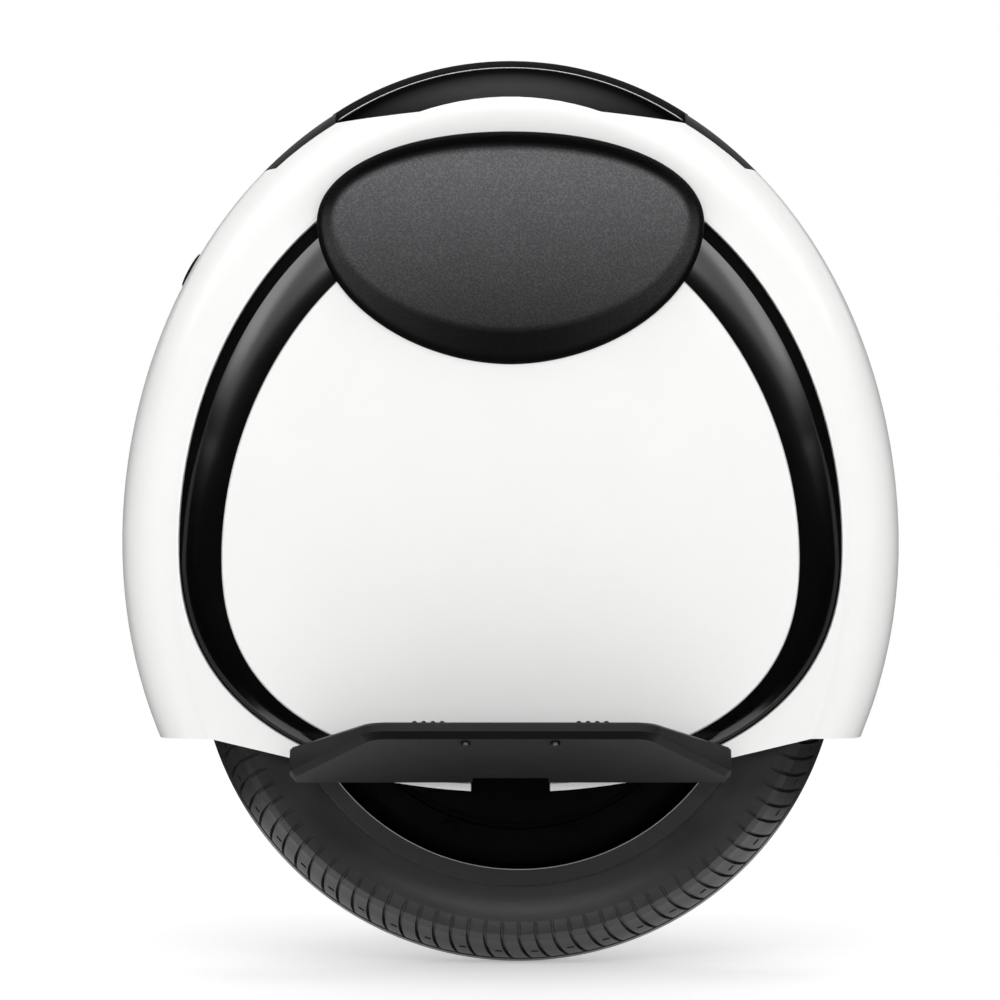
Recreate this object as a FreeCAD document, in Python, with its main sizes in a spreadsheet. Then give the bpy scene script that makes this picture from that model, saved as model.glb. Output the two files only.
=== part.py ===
import FreeCAD, Part
import math
import os
import Sketcher
from FreeCAD import Placement, Rotation, Vector
from types import SimpleNamespace

# Electric unicycle. Millimetres; +X forward, +Y left, +Z up, ground at zero under the body's middle.
# The pieces of the right side are drawn and those of the left are their mirror images.

doc = FreeCAD.newDocument("Unicycle")

driving_sizes = {
    # wheel
    "tyre_radius": 177.0,
    "tyre_half_width": 25.0,
    "tread_half_width": 22.5,
    "tread_drop": 13.0,
    "tread_thickness": 8.0,
    "sidewall_thickness": 3.5,
    "bead_radius": 127.0,
    "bead_half_gauge": 21.0,
    "bead_thickness": 6.5,
    "groove_width": 1.7,
    "groove_depth": 2.2,
    "groove_reach": 6.0,
    "groove_inner_offset": 7.5,
    "tube_section_radius": 17.0,
    "tube_wall": 1.4,
    "axle_shift": 4.5,
    "rim_lip_radius": 134.0,
    "rim_lip_inner_radius": 123.6,
    "rim_half_width": 26.0,
    "rim_lip_rounding": 1.0,
    "rim_well_radius": 122.5,
    "rim_well_half_width": 10.0,
    "rim_seat_half_width": 14.0,
    "drum_radius": 117.0,
    "drum_bore_radius": 104.0,
    "drum_half_width": 24.0,
    "recess_half_width": 18.0,
    "valve_radius": 2.0,
    "valve_cap_radius": 2.9,
    "valve_cap_length": 9.0,
    "valve_tip": 35.5,
    # motor
    "flux_ring_thickness": 4.6,
    "flux_ring_half_width": 17.0,
    "magnet_thickness": 3.0,
    "magnet_width": 12.0,
    "magnet_length": 30.0,
    "air_gap": 0.8,
    "stator_half_width": 14.0,
    "stator_bore_radius": 70.0,
    "slot_floor_radius": 78.0,
    "slot_shoulder_radius": 92.0,
    "slot_half_width": 4.0,
    "slot_mouth_half_width": 1.3,
    "coil_wall": 3.2,
    "coil_end_height": 4.0,
    "cover_radius": 115.5,
    "cover_flange_inner_radius": 103.0,
    "cover_flange_thickness": 3.0,
    "cover_dish_radius": 100.0,
    "cover_dish_depth": 29.5,
    "cover_hub_radius": 27.0,
    "cover_hub_depth": 33.0,
    "cover_wall": 3.0,
    "cover_lip": 3.0,
    "cover_groove_depth": 1.5,
    "cover_groove_slope": 0.9,
    "screw_circle_radius": 108.4,
    "screw_phase_angle": 15.7,
    "cover_screw_radius": 2.0,
    "cover_screw_length": 11.0,
    "cover_screw_head_radius": 3.4,
    "cover_screw_head_height": 2.2,
    "axle_radius": 10.0,
    "axle_half_length": 58.5,
    "axle_bore_radius": 4.0,
    "running_clearance": 0.05,
    "bearing_radius": 21.0,
    "bearing_width": 12.0,
    "bearing_depth": 20.5,
    "carrier_hub_radius": 22.0,
    "carrier_hub_half_width": 19.5,
    "carrier_web_half_width": 4.0,
    "carrier_rim_thickness": 6.0,
    "carrier_hole_radius": 9.0,
    "washer_radius": 17.0,
    "washer_thickness": 1.5,
    "nut_across": 30.0,
    # hangers and pedals
    "hanger_depth": 40.5,
    "hanger_thickness": 11.0,
    "hanger_boss_radius": 22.0,
    "lug_half_width": 19.5,
    "lug_radius": 8.5,
    "lug_shoulder": 12.0,
    "hinge_depth": 70.0,
    "hinge_height": 114.0,
    "hinge_pin_radius": 4.0,
    "hinge_barrel_radius": 7.3,
    "hinge_barrel_half_length": 38.0,
    "hinge_side_gap": 0.6,
    "pedal_tilt_angle": 12.4,
    "pedal_half_length": 117.0,
    "pedal_outer_half_length": 72.0,
    "pedal_reach": 86.0,
    "pedal_inner_edge": 1.0,
    "pedal_straight_end": 12.0,
    "pedal_top": 4.5,
    "pedal_root_drop": 12.5,
    "pedal_tip_drop": 3.6,
    "pedal_corner_radius": 16.0,
    "pedal_root_corner_radius": 9.0,
    "pedal_bevel": 3.2,
    "pedal_top_bevel": 1.2,
    "lug_slot_reach": 9.6,
    "grip_base": 1.0,
    "grip_rib_radius": 1.5,
    "grip_rib_spacing": 4.7,
    "grip_margin": 2.6,
    "grip_inner_offset": 42.0,
    "grip_inner_start": 14.0,
    "grip_inner_end": 81.0,
    "grip_outer_offset": 96.0,
    "grip_outer_start": 6.0,
    "grip_outer_end": 24.0,
    "bumper_radius": 2.7,
    "bumper_height": 1.5,
    "bumper_shank_radius": 1.4,
    "bumper_shank_length": 3.0,
    "bumper_spread": 23.0,
    "bumper_reach": 77.0,
    # shell
    "shell_half_length": 212.4,
    "shell_centre_height": 229.4,
    "shell_rise": 264.0,
    "shell_drop": 242.8,
    "shell_depth": 58.0,
    "shell_wall": 3.0,
    "shell_seam": 0.15,
    "side_rim": 2.0,
    "side_drop": 236.0,
    "ring_half_length": 178.0,
    "ring_centre_height": 228.5,
    "ring_rise": 214.1,
    "ring_drop": 128.4,
    "panel_half_length": 154.9,
    "panel_centre_height": 223.1,
    "panel_rise": 188.5,
    "panel_drop": 113.5,
    "fender_height": 124.6,
    "fender_foot": 161.0,
    "skirt_foot": 64.0,
    "skirt_height": 101.5,
    "skirt_low_height": 96.0,
    "ledge_depth": 51.0,
    "ledge_thickness": 3.0,
    "ledge_width": 24.0,
    "trim_gap": 0.4,
    "trim_base_thickness": 1.2,
    "trim_crest_depth": 62.0,
    "trim_step_width": 4.0,
    "panel_thickness": 2.5,
    "panel_edge_radius": 0.8,
    "seat_gap": 0.3,
    "lug_notch_clearance": 1.8,
    "lug_notch_height": 126.0,
    "well_mouth_half_length": 94.4,
    "well_mouth_height": 456.1,
    "well_kink_half_length": 48.7,
    "well_kink_height": 460.9,
    "well_crest_height": 469.0,
    "well_wall": 2.5,
    # handle
    "handle_top_height": 493.5,
    "handle_outer_radius": 175.0,
    "handle_edge_height": 489.0,
    "handle_inner_radius": 167.8,
    "handle_half_width": 22.0,
    "handle_edge_radius": 2.6,
    "handle_overlap": 2.5,
    "belly_height": 472.4,
    "belly_radius": 290.0,
    "belly_half_width": 20.0,
    "tail_middle_half_length": 110.0,
    "tail_middle_height": 446.0,
    "tail_knee_half_length": 126.9,
    "tail_knee_height": 432.2,
    "tail_tip_half_length": 138.0,
    "tail_tip_height": 432.5,
    "lift_button_half_length": 18.0,
    "lift_button_half_width": 8.0,
    "lift_button_height": 6.5,
    "lift_button_travel": 2.5,
    "lift_button_play": 0.35,
    "power_button_angle": 30.0,
    "power_button_radius": 7.0,
    "power_button_height": 3.2,
    "power_button_travel": 1.2,
    "power_button_sink": 0.3,
    # leg pads
    "pad_half_length": 103.5,
    "pad_centre_height": 400.3,
    "pad_rise": 48.4,
    "pad_drop": 75.3,
    "pad_brow_depth": 70.0,
    "pad_chin_depth": 61.5,
    "pad_border": 8.5,
    "pad_chin_border": 18.5,
    "pad_face_top_depth": 65.0,
    "pad_face_bottom_depth": 75.0,
    # wheel arch
    "arch_depth": 36.5,
    "arch_wall": 2.0,
    "arch_clearance": 6.0,
    "arch_lift": 2.0,
    "arch_slot_half_width": 12.0,
    "arch_slot_top": 36.0,
    "post_radius": 5.0,
    "shell_screw_radius": 1.5,
    "shell_screw_head_radius": 3.2,
    "shell_screw_head_height": 1.8,
    "shell_screw_length": 11.0,
    "shell_screw_angle": 34.8,
    # electrics
    "cell_radius": 9.2,
    "cell_length": 65.0,
    "cell_gap": 0.4,
    "cable_gap": 8.0,
    "tray_floor": 1.5,
    "tray_wall": 1.6,
    "tray_height": 6.0,
    "tray_bottom": 214.0,
    "sink_half_length": 62.0,
    "sink_half_width": 30.0,
    "sink_height": 376.0,
    "fin_height": 12.0,
    "fin_thickness": 2.0,
    "fin_pitch": 5.0,
    "transistor_length": 15.0,
    "transistor_width": 10.0,
    "transistor_height": 4.6,
    "transistor_pitch": 17.0,
    "transistor_row_offset": 15.3,
    "board_half_length": 40.0,
    "board_half_width": 27.7,
    "board_thickness": 1.6,
    "capacitor_radius": 8.0,
    "capacitor_height": 30.0,
    "capacitor_pitch": 19.0,
    "cable_radius": 2.6,
    "cable_clearance": 1.0,
    # lamps and charging
    "drop_in_play": 0.3,
    "head_lamp_height": 313.0,
    "head_lamp_half_height": 27.0,
    "head_lamp_half_width": 17.0,
    "head_lamp_back": 186.0,
    "tail_lamp_height": 300.0,
    "tail_lamp_half_height": 8.0,
    "tail_lamp_half_width": 24.0,
    "tail_lamp_back": 198.0,
    "lamp_board_thickness": 1.6,
    "charge_angle": 34.8,
    "socket_radius": 8.5,
    "socket_length": 16.0,
    "socket_sink": 0.8,
    "plug_radius": 6.0,
    "plug_depth": 12.0,
    "door_radius": 10.0,
    "door_thickness": 2.0,
}


class Size:
    """A size that knows its number and the sheet expression that gives it."""

    def __init__(self, value, text):
        self.value = value
        self.text = text

    def __add__(self, other):
        return Size(self.value + other.value, f"({self.text} + {other.text})")

    def __sub__(self, other):
        return Size(self.value - other.value, f"({self.text} - {other.text})")

    def __mul__(self, factor):
        return Size(self.value * factor, f"({self.text} * {factor})")

    def __neg__(self):
        return Size(-self.value, f"(-{self.text})")

    def turned(self, angle):
        """Across and up parts of this radius, swung by an angle from straight up."""
        turn = math.radians(angle.value)
        across = Size(self.value * math.sin(turn), f"({self.text} * sin({angle.text} * 1 deg))")
        up = Size(self.value * math.cos(turn), f"({self.text} * cos({angle.text} * 1 deg))")
        return across, up


def write_sheet():
    sheet = doc.addObject("Spreadsheet::Sheet", "Sizes")
    for row, (name, value) in enumerate(driving_sizes.items(), 1):
        sheet.set(f"A{row}", name)
        sheet.set(f"B{row}", str(value))
        sheet.setAlias(f"B{row}", name)
    doc.recompute()
    return sheet


sheet = write_sheet()
size = SimpleNamespace(**{name: Size(float(getattr(sheet, name)), f"Sizes.{name}") for name in driving_sizes})
nil = Size(0.0, "0")

# counts
groove_count = 108
magnet_count = 40
slot_count = 36
screw_count = 10
carrier_hole_count = 6
nut_sides = 6
transistor_count = 6
capacitor_count = 3
fin_count = 3
rib_count = 4
curve_steps = 24
shell_steps = 6

# shapes of the outlines: two is an ellipse, more is squarer
shell_power = 3.0
ring_rise_power = 2.0
ring_drop_power = 2.35
panel_rise_power = 1.9
panel_drop_power = 2.4
pad_rise_power = 2.1
pad_drop_power = 1.9

# the trim ring's bank: how far in from the shell, and how far up to the crest
trim_bank_shares = (0.2, 0.24, 0.34, 0.5, 0.72, 0.97)
trim_rise_shares = (0.0, 0.4, 0.68, 0.86, 0.96, 1.0)

# how far tools that cut right through run past the piece, and how much of a lamp its board fills
overrun_share = 1.2
lamp_board_share = 0.8
# how much of the shorter run each bend of the motor cable takes up
cable_bend_share = 0.45

kept = []


def keep(item, label):
    """Make an object a sub-part of its own under this name."""
    item.Label = label
    kept.append(item)


def bind(item, prop, amount):
    item.setExpression(prop, amount.text)


def place(item, x, y, z, rotation=Rotation()):
    item.Placement = Placement(Vector(x.value, y.value, z.value), rotation)
    bind(item, "Placement.Base.x", x)
    bind(item, "Placement.Base.y", y)
    bind(item, "Placement.Base.z", z)


def place_on_axle(item):
    place(item, size.axle_shift, nil, size.tyre_radius)


def new_body(name):
    return doc.addObject("PartDesign::Body", name)


def new_sketch(body, role):
    sketch = body.newObject("Sketcher::SketchObject", body.Name + "Sketch")
    plane = next(part for part in body.Origin.OriginFeatures if part.Role == role)
    sketch.AttachmentSupport = [(plane, "")]
    sketch.MapMode = "FlatFace"
    return sketch


def pin_point(sketch, geometry, point, x, y):
    for axis, amount in (("DistanceX", x), ("DistanceY", y)):
        index = sketch.addConstraint(Sketcher.Constraint(axis, -1, 1, geometry, point, amount.value))
        sketch.setExpression(f"Constraints[{index}]", amount.text)


def arc_between(start, end, radius):
    """Shorter arc that bulges to the right of the way from start to end."""
    chord = end - start
    aside = Vector(-chord.y, chord.x, 0).normalize()
    rise = math.sqrt(radius**2 - (chord.Length / 2) ** 2)
    centre = (start + end) / 2 + aside * rise
    return Part.Arc(start, centre - aside * radius, end)


def add_outline(sketch, corners):
    """Closed outline through corners (x, y) or (x, y, radius of the arc that follows)."""
    points = [Vector(corner[0].value, corner[1].value, 0) for corner in corners]
    ends = []
    for index, corner in enumerate(corners):
        start = points[index]
        end = points[(index + 1) % len(points)]
        if len(corner) == 2:
            geometry = sketch.addGeometry(Part.LineSegment(start, end), False)
            ends.append((geometry, 1, 2))
            continue
        radius = corner[2]
        inward = radius.value < 0
        first, last = (end, start) if inward else (start, end)
        geometry = sketch.addGeometry(arc_between(first, last, abs(radius.value)), False)
        ends.append((geometry, 2, 1) if inward else (geometry, 1, 2))
        index_radius = sketch.addConstraint(Sketcher.Constraint("Radius", geometry, abs(radius.value)))
        sketch.setExpression(f"Constraints[{index_radius}]", (-radius if inward else radius).text)
    for index, (geometry, start, end) in enumerate(ends):
        following, following_start, _ = ends[(index + 1) % len(ends)]
        sketch.addConstraint(Sketcher.Constraint("Coincident", geometry, end, following, following_start))
    for (geometry, start, _), corner in zip(ends, corners):
        pin_point(sketch, geometry, start, corner[0], corner[1])


def add_circle(sketch, x, y, radius):
    middle = Vector(x.value, y.value, 0)
    geometry = sketch.addGeometry(Part.Circle(middle, Vector(0, 0, 1), radius.value), False)
    pin_point(sketch, geometry, 3, x, y)
    index = sketch.addConstraint(Sketcher.Constraint("Radius", geometry, radius.value))
    sketch.setExpression(f"Constraints[{index}]", radius.text)


def add_rectangle(sketch, left, right, low, high):
    add_outline(sketch, [(left, low), (right, low), (right, high), (left, high)])


def outline_sketch(body, role, corners):
    sketch = new_sketch(body, role)
    add_outline(sketch, corners)
    return sketch


def revolve(body, sketch):
    feature = body.newObject("PartDesign::Revolution", body.Name + "Turned")
    feature.Profile = sketch
    feature.ReferenceAxis = (sketch, ["V_Axis"])
    feature.Angle = 360
    return feature


def pad(body, sketch, length, both_ways=False, reversed_way=False):
    feature = body.newObject("PartDesign::Pad", body.Name + "Pad")
    feature.Profile = sketch
    bind(feature, "Length", length)
    feature.Midplane = both_ways
    feature.Reversed = reversed_way
    return feature


def pocket_through(body, sketch):
    feature = body.newObject("PartDesign::Pocket", body.Name + "Cut")
    feature.Profile = sketch
    feature.Type = "ThroughAll"
    feature.Midplane = True
    return feature


def pocket(body, sketch, length, both_ways=False, reversed_way=False):
    feature = body.newObject("PartDesign::Pocket", body.Name + "Pocket")
    feature.Profile = sketch
    bind(feature, "Length", length)
    feature.Midplane = both_ways
    feature.Reversed = reversed_way
    return feature


def repeat_round(body, feature, sketch, count):
    pattern = body.newObject("PartDesign::PolarPattern", body.Name + "Round")
    pattern.Originals = [feature]
    pattern.Axis = (sketch, ["N_Axis"])
    pattern.Angle = 360
    pattern.Occurrences = count
    body.Tip = pattern
    return pattern


def dress_edges(body, kind, amount, test):
    """Fillet or chamfer the edges of a body that pass a test."""
    doc.recompute()
    base = body.Tip
    names = [f"Edge{index}" for index, edge in enumerate(base.Shape.Edges, 1) if test(edge)]
    feature = body.newObject(f"PartDesign::{kind}", body.Name + kind)
    feature.Base = (base, names)
    bind(feature, "Radius" if kind == "Fillet" else "Size", amount)
    return feature


def lathe(name, corners):
    """Solid of revolution about the axle; corners are (radius, place along the axle)."""
    body = new_body(name)
    revolve(body, outline_sketch(body, "XY_Plane", corners))
    place_on_axle(body)
    return body


def cylinder(name, radius, height):
    item = doc.addObject("Part::Cylinder", name)
    bind(item, "Radius", radius)
    bind(item, "Height", height)
    return item


def box(name, length, width, height):
    item = doc.addObject("Part::Box", name)
    bind(item, "Length", length)
    bind(item, "Width", width)
    bind(item, "Height", height)
    return item


def group(name, items):
    item = doc.addObject("Part::Compound", name)
    item.Links = items
    return item


def subtract(name, base, tool):
    item = doc.addObject("Part::Cut", name)
    item.Base = base
    item.Tool = tool
    return item


def formed(name, shape):
    item = doc.addObject("Part::Feature", name)
    item.Shape = shape
    return item


def mirrored(item):
    """The same piece on the other side of the machine."""
    twin = doc.addObject("Part::Mirroring", item.Name + "Twin")
    twin.Source = item
    twin.Normal = Vector(0, 1, 0)
    return twin


def keep_pair(item, stem, side="right"):
    other = "left" if side == "right" else "right"
    keep(item, f"{side}_{stem}")
    keep(mirrored(item), f"{other}_{stem}")


def keep_both(item, label):
    """One sub-part that holds a piece and its mirror image, for fasteners."""
    keep(group(item.Name + "Both", [item, mirrored(item)]), label)


along_x = Rotation(Vector(0, 1, 0), 90)
along_right = Rotation(Vector(1, 0, 0), 90)
along_left = Rotation(Vector(1, 0, 0), -90)


# wheel

def build_tyre():
    shoulder = size.tyre_radius - size.tread_drop
    crown = arc_radius(size.tread_half_width, size.tread_drop)
    bead_toe = size.bead_half_gauge - size.bead_thickness
    bead_top = size.rim_lip_radius
    bulge = size.tyre_half_width - (size.bead_half_gauge + size.tread_half_width) * 0.5
    sidewall = arc_radius((shoulder - bead_top) * 0.5, bulge)
    inner_shoulder = size.tread_half_width - size.sidewall_thickness
    inside = size.tyre_radius - size.tread_thickness
    inner_crown_edge = shoulder - size.tread_thickness + size.sidewall_thickness
    carcass = lathe("Carcass", [
        (size.bead_radius, bead_toe),
        (size.bead_radius, size.bead_half_gauge),
        (bead_top, size.bead_half_gauge, -sidewall),
        (shoulder, size.tread_half_width, -crown),
        (size.tyre_radius, nil, -crown),
        (shoulder, -size.tread_half_width, -sidewall),
        (bead_top, -size.bead_half_gauge),
        (size.bead_radius, -size.bead_half_gauge),
        (size.bead_radius, -bead_toe),
        (inner_crown_edge, -inner_shoulder, crown),
        (inside, nil, crown),
        (inner_crown_edge, inner_shoulder),
    ])
    doc.recompute()
    grooves = formed("Grooves", Part.makeCompound(tread_grooves(crown.value)))
    rings = formed("Rings", Part.makeCompound(ring_grooves(crown.value)))
    place_on_axle(grooves)
    place_on_axle(rings)
    keep(subtract("Tyre", subtract("RingedCarcass", carcass, rings), grooves), "tyre")


def arc_radius(half_chord, sag):
    """Radius of the arc that rises by a sag over a chord."""
    radius = (half_chord.value**2 + sag.value**2) / (2 * sag.value)
    return Size(radius, f"(({half_chord.text})^2 + ({sag.text})^2) / (2 * {sag.text})")


def ring_grooves(crown):
    """Groove round the tyre on each side of the middle, where the cross grooves start."""
    width = size.groove_width.value
    offset = size.groove_inner_offset.value
    outer = size.tyre_radius.value
    floor = outer - crown + math.sqrt((crown - size.groove_depth.value) ** 2 - offset**2)
    tools = []
    for side in (1, -1):
        start = Vector(0, side * offset - width / 2, 0)
        ring = Part.makeCylinder(outer, width, start, Vector(0, 1, 0))
        tools.append(ring.cut(Part.makeCylinder(floor, width, start, Vector(0, 1, 0))))
    return tools


def tread_grooves(crown):
    """Cross grooves from each ring groove over the shoulder, at an even depth below the crown."""
    centre = size.tyre_radius.value - crown
    floor = crown - size.groove_depth.value
    width = size.groove_width.value
    over = crown + size.groove_depth.value
    start = math.asin(size.groove_inner_offset.value / crown)
    end = math.asin((size.tread_half_width.value + size.groove_reach.value / 2) / over)
    tools = []
    for side in (1, -1):
        corners = []
        for reach, turn in ((floor, start), (over, start), (over, end), (floor, end)):
            corners.append(Vector(centre + reach * math.cos(turn), side * reach * math.sin(turn), -width / 2))
        face = Part.Face(Part.makePolygon(corners + corners[:1]))
        blade = face.extrude(Vector(0, 0, width))
        for index in range(groove_count):
            turned = blade.copy()
            turned.rotate(Vector(0, 0, 0), Vector(0, 1, 0), (index + side / 4) * 360 / groove_count)
            tools.append(turned)
    return tools


def build_tube():
    outside = doc.addObject("Part::Torus", "TubeOutside")
    inside = doc.addObject("Part::Torus", "TubeInside")
    middle = size.tyre_radius - size.tread_thickness - size.seat_gap - size.tube_section_radius
    bore = size.tube_section_radius - size.tube_wall
    for torus, section in ((outside, size.tube_section_radius), (inside, bore)):
        bind(torus, "Radius1", middle)
        bind(torus, "Radius2", section)
        place(torus, size.axle_shift, nil, size.tyre_radius, along_right)
    keep(subtract("Tube", outside, inside), "inner_tube")


def build_rim():
    body = lathe("Rim", [
        (size.drum_bore_radius, -size.drum_half_width),
        (size.drum_radius, -size.drum_half_width),
        (size.drum_radius, -size.recess_half_width),
        (size.rim_lip_inner_radius, -size.recess_half_width),
        (size.rim_lip_inner_radius, -size.rim_half_width),
        (size.rim_lip_radius, -size.rim_half_width),
        (size.rim_lip_radius, -size.bead_half_gauge),
        (size.bead_radius, -size.bead_half_gauge),
        (size.bead_radius, -size.rim_seat_half_width),
        (size.rim_well_radius, -size.rim_well_half_width),
        (size.rim_well_radius, size.rim_well_half_width),
        (size.bead_radius, size.rim_seat_half_width),
        (size.bead_radius, size.bead_half_gauge),
        (size.rim_lip_radius, size.bead_half_gauge),
        (size.rim_lip_radius, size.rim_half_width),
        (size.rim_lip_inner_radius, size.rim_half_width),
        (size.rim_lip_inner_radius, size.recess_half_width),
        (size.drum_radius, size.recess_half_width),
        (size.drum_radius, size.drum_half_width),
        (size.drum_bore_radius, size.drum_half_width),
    ])
    lip_edges = (size.rim_lip_radius.value, size.rim_lip_inner_radius.value)

    def is_lip(edge):
        round_edge = isinstance(edge.Curve, Part.Circle) and edge.Curve.Radius in lip_edges
        return round_edge and abs(abs(edge.Curve.Center.y) - size.rim_half_width.value) < size.seat_gap.value

    dress_edges(body, "Fillet", size.rim_lip_rounding, is_lip)
    drill_screw_circle(body, size.cover_screw_radius)
    sketch = new_sketch(body, "XZ_Plane")
    add_circle(sketch, nil, valve_radius_from_axle(), size.valve_radius + size.running_clearance)
    pocket(body, sketch, size.rim_half_width)
    keep(body, "rim")


def valve_radius_from_axle():
    return (size.drum_radius + size.rim_lip_inner_radius) * 0.5


def drill_screw_circle(body, radius):
    across, up = size.screw_circle_radius.turned(size.screw_phase_angle)
    sketch = new_sketch(body, "XZ_Plane")
    add_circle(sketch, across, -up, radius)
    repeat_round(body, pocket_through(body, sketch), sketch, screw_count)


def build_valve():
    height = size.tyre_radius + valve_radius_from_axle()
    stem = cylinder("ValveStem", size.valve_radius, size.valve_tip - size.valve_cap_length * 0.5)
    place(stem, size.axle_shift, nil, height, along_left)
    cap = cylinder("ValveCapBlank", size.valve_cap_radius, size.valve_cap_length)
    place(cap, size.axle_shift, size.valve_tip - size.valve_cap_length, height, along_left)
    keep(stem, "valve_stem")
    keep(subtract("ValveCap", cap, stem), "valve_cap")


# motor

def build_magnets():
    ring_inside = size.drum_bore_radius - size.flux_ring_thickness
    keep(lathe("FluxRing", [
        (ring_inside, -size.flux_ring_half_width),
        (size.drum_bore_radius, -size.flux_ring_half_width),
        (size.drum_bore_radius, size.flux_ring_half_width),
        (ring_inside, size.flux_ring_half_width),
    ]), "flux_ring")
    thickness = size.magnet_thickness.value
    width = size.magnet_width.value
    length = size.magnet_length.value
    outer = math.sqrt(ring_inside.value**2 - (width / 2) ** 2)
    corner = Vector(outer - thickness, -length / 2, -width / 2)
    blank = Part.makeBox(thickness, length, width, corner)
    magnets = formed("Magnets", Part.makeCompound(around_axle(blank, magnet_count)))
    place_on_axle(magnets)
    keep(magnets, "magnets")


def around_axle(shape, count):
    copies = []
    for index in range(count):
        copy = shape.copy()
        copy.rotate(Vector(0, 0, 0), Vector(0, 1, 0), index * 360 / count)
        copies.append(copy)
    return copies


def stator_radius():
    ring_inside = size.drum_bore_radius - size.flux_ring_thickness
    return ring_inside - size.magnet_thickness - size.air_gap - size.air_gap


def build_stator():
    body = new_body("StatorCore")
    sketch = new_sketch(body, "XZ_Plane")
    add_circle(sketch, nil, nil, stator_radius())
    add_circle(sketch, nil, nil, size.stator_bore_radius)
    pad(body, sketch, size.stator_half_width * 2, both_ways=True)
    slot = outline_sketch(body, "XZ_Plane", [
        (-size.slot_half_width, size.slot_floor_radius),
        (size.slot_half_width, size.slot_floor_radius),
        (size.slot_half_width, size.slot_shoulder_radius),
        (size.slot_mouth_half_width, size.slot_shoulder_radius),
        (size.slot_mouth_half_width, stator_radius() + size.air_gap),
        (-size.slot_mouth_half_width, stator_radius() + size.air_gap),
        (-size.slot_mouth_half_width, size.slot_shoulder_radius),
        (-size.slot_half_width, size.slot_shoulder_radius),
    ])
    repeat_round(body, pocket_through(body, slot), slot, slot_count)
    place_on_axle(body)
    keep(body, "stator_core")
    coils = formed("Coils", Part.makeCompound(around_axle(one_coil(), slot_count)))
    place_on_axle(coils)
    keep(coils, "stator_coils")


def one_coil():
    """Winding round one tooth, between two slots."""
    gap = size.seat_gap.value
    low = size.slot_floor_radius.value + gap
    high = size.slot_shoulder_radius.value - gap
    half_pitch = math.pi / slot_count
    tooth_foot = 2 * (low * math.sin(half_pitch) - size.slot_half_width.value + gap)
    tooth_head = 2 * (high * math.sin(half_pitch) - size.slot_half_width.value + gap)
    across = tooth_foot + 2 * size.coil_wall.value
    inside = 2 * (size.stator_half_width.value + gap)
    outside = inside + 2 * size.coil_end_height.value
    outer = Part.makeBox(high - low, outside, across, Vector(low, -outside / 2, -across / 2))
    inner = Part.makeBox(high - low, inside, tooth_head, Vector(low, -inside / 2, -tooth_head / 2))
    coil = outer.cut(inner)
    coil.rotate(Vector(0, 0, 0), Vector(0, 1, 0), 180 / slot_count - 90)
    return coil


def build_covers():
    flange_out = size.drum_half_width + size.cover_flange_thickness
    dish_in = size.cover_dish_depth - size.cover_wall
    hub_bore = size.bearing_radius
    lip_radius = size.bearing_radius - size.cover_lip
    bearing_end = size.bearing_depth + size.bearing_width
    body = lathe("Cover", [
        (size.cover_flange_inner_radius, size.drum_half_width),
        (size.cover_radius, size.drum_half_width),
        (size.cover_radius, flange_out),
        (size.cover_flange_inner_radius, flange_out),
        (size.cover_flange_inner_radius - size.cover_groove_slope, flange_out - size.cover_groove_depth),
        (size.cover_dish_radius, flange_out - size.cover_groove_depth),
        (size.cover_dish_radius - size.cover_lip, size.cover_dish_depth),
        (size.cover_hub_radius + size.cover_lip, size.cover_dish_depth),
        (size.cover_hub_radius, size.cover_hub_depth),
        (lip_radius, size.cover_hub_depth),
        (lip_radius, bearing_end),
        (hub_bore, bearing_end),
        (hub_bore, size.bearing_depth),
        (size.cover_hub_radius, size.bearing_depth),
        (size.cover_hub_radius + size.cover_lip, dish_in),
        (size.cover_dish_radius - size.cover_lip, dish_in),
        (size.cover_flange_inner_radius - size.cover_lip, size.drum_half_width),
    ])
    drill_screw_circle(body, size.cover_screw_radius)
    keep_pair(body, "motor_cover", "left")
    keep_pair(lathe("Bearing", [
        (size.axle_radius + size.running_clearance, size.bearing_depth),
        (size.bearing_radius, size.bearing_depth),
        (size.bearing_radius, bearing_end),
        (size.axle_radius + size.running_clearance, bearing_end),
    ]), "wheel_bearing", "left")
    build_cover_screws(flange_out)


def build_cover_screws(seat):
    screws = []
    for index in range(screw_count):
        turn = Size(index * 360 / screw_count, str(index * 360 / screw_count)) + size.screw_phase_angle
        across, up = size.screw_circle_radius.turned(turn)
        x = size.axle_shift + across
        z = size.tyre_radius - up
        shank = cylinder(f"CoverShank{index}", size.cover_screw_radius, size.cover_screw_length)
        place(shank, x, seat - size.cover_screw_length, z, along_left)
        head = cylinder(f"CoverHead{index}", size.cover_screw_head_radius, size.cover_screw_head_height)
        place(head, x, seat, z, along_left)
        screw = doc.addObject("Part::Fuse", f"CoverScrew{index}")
        screw.Base = shank
        screw.Tool = head
        screws.append(screw)
    keep_both(group("CoverScrews", screws), "cover_screws")


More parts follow.
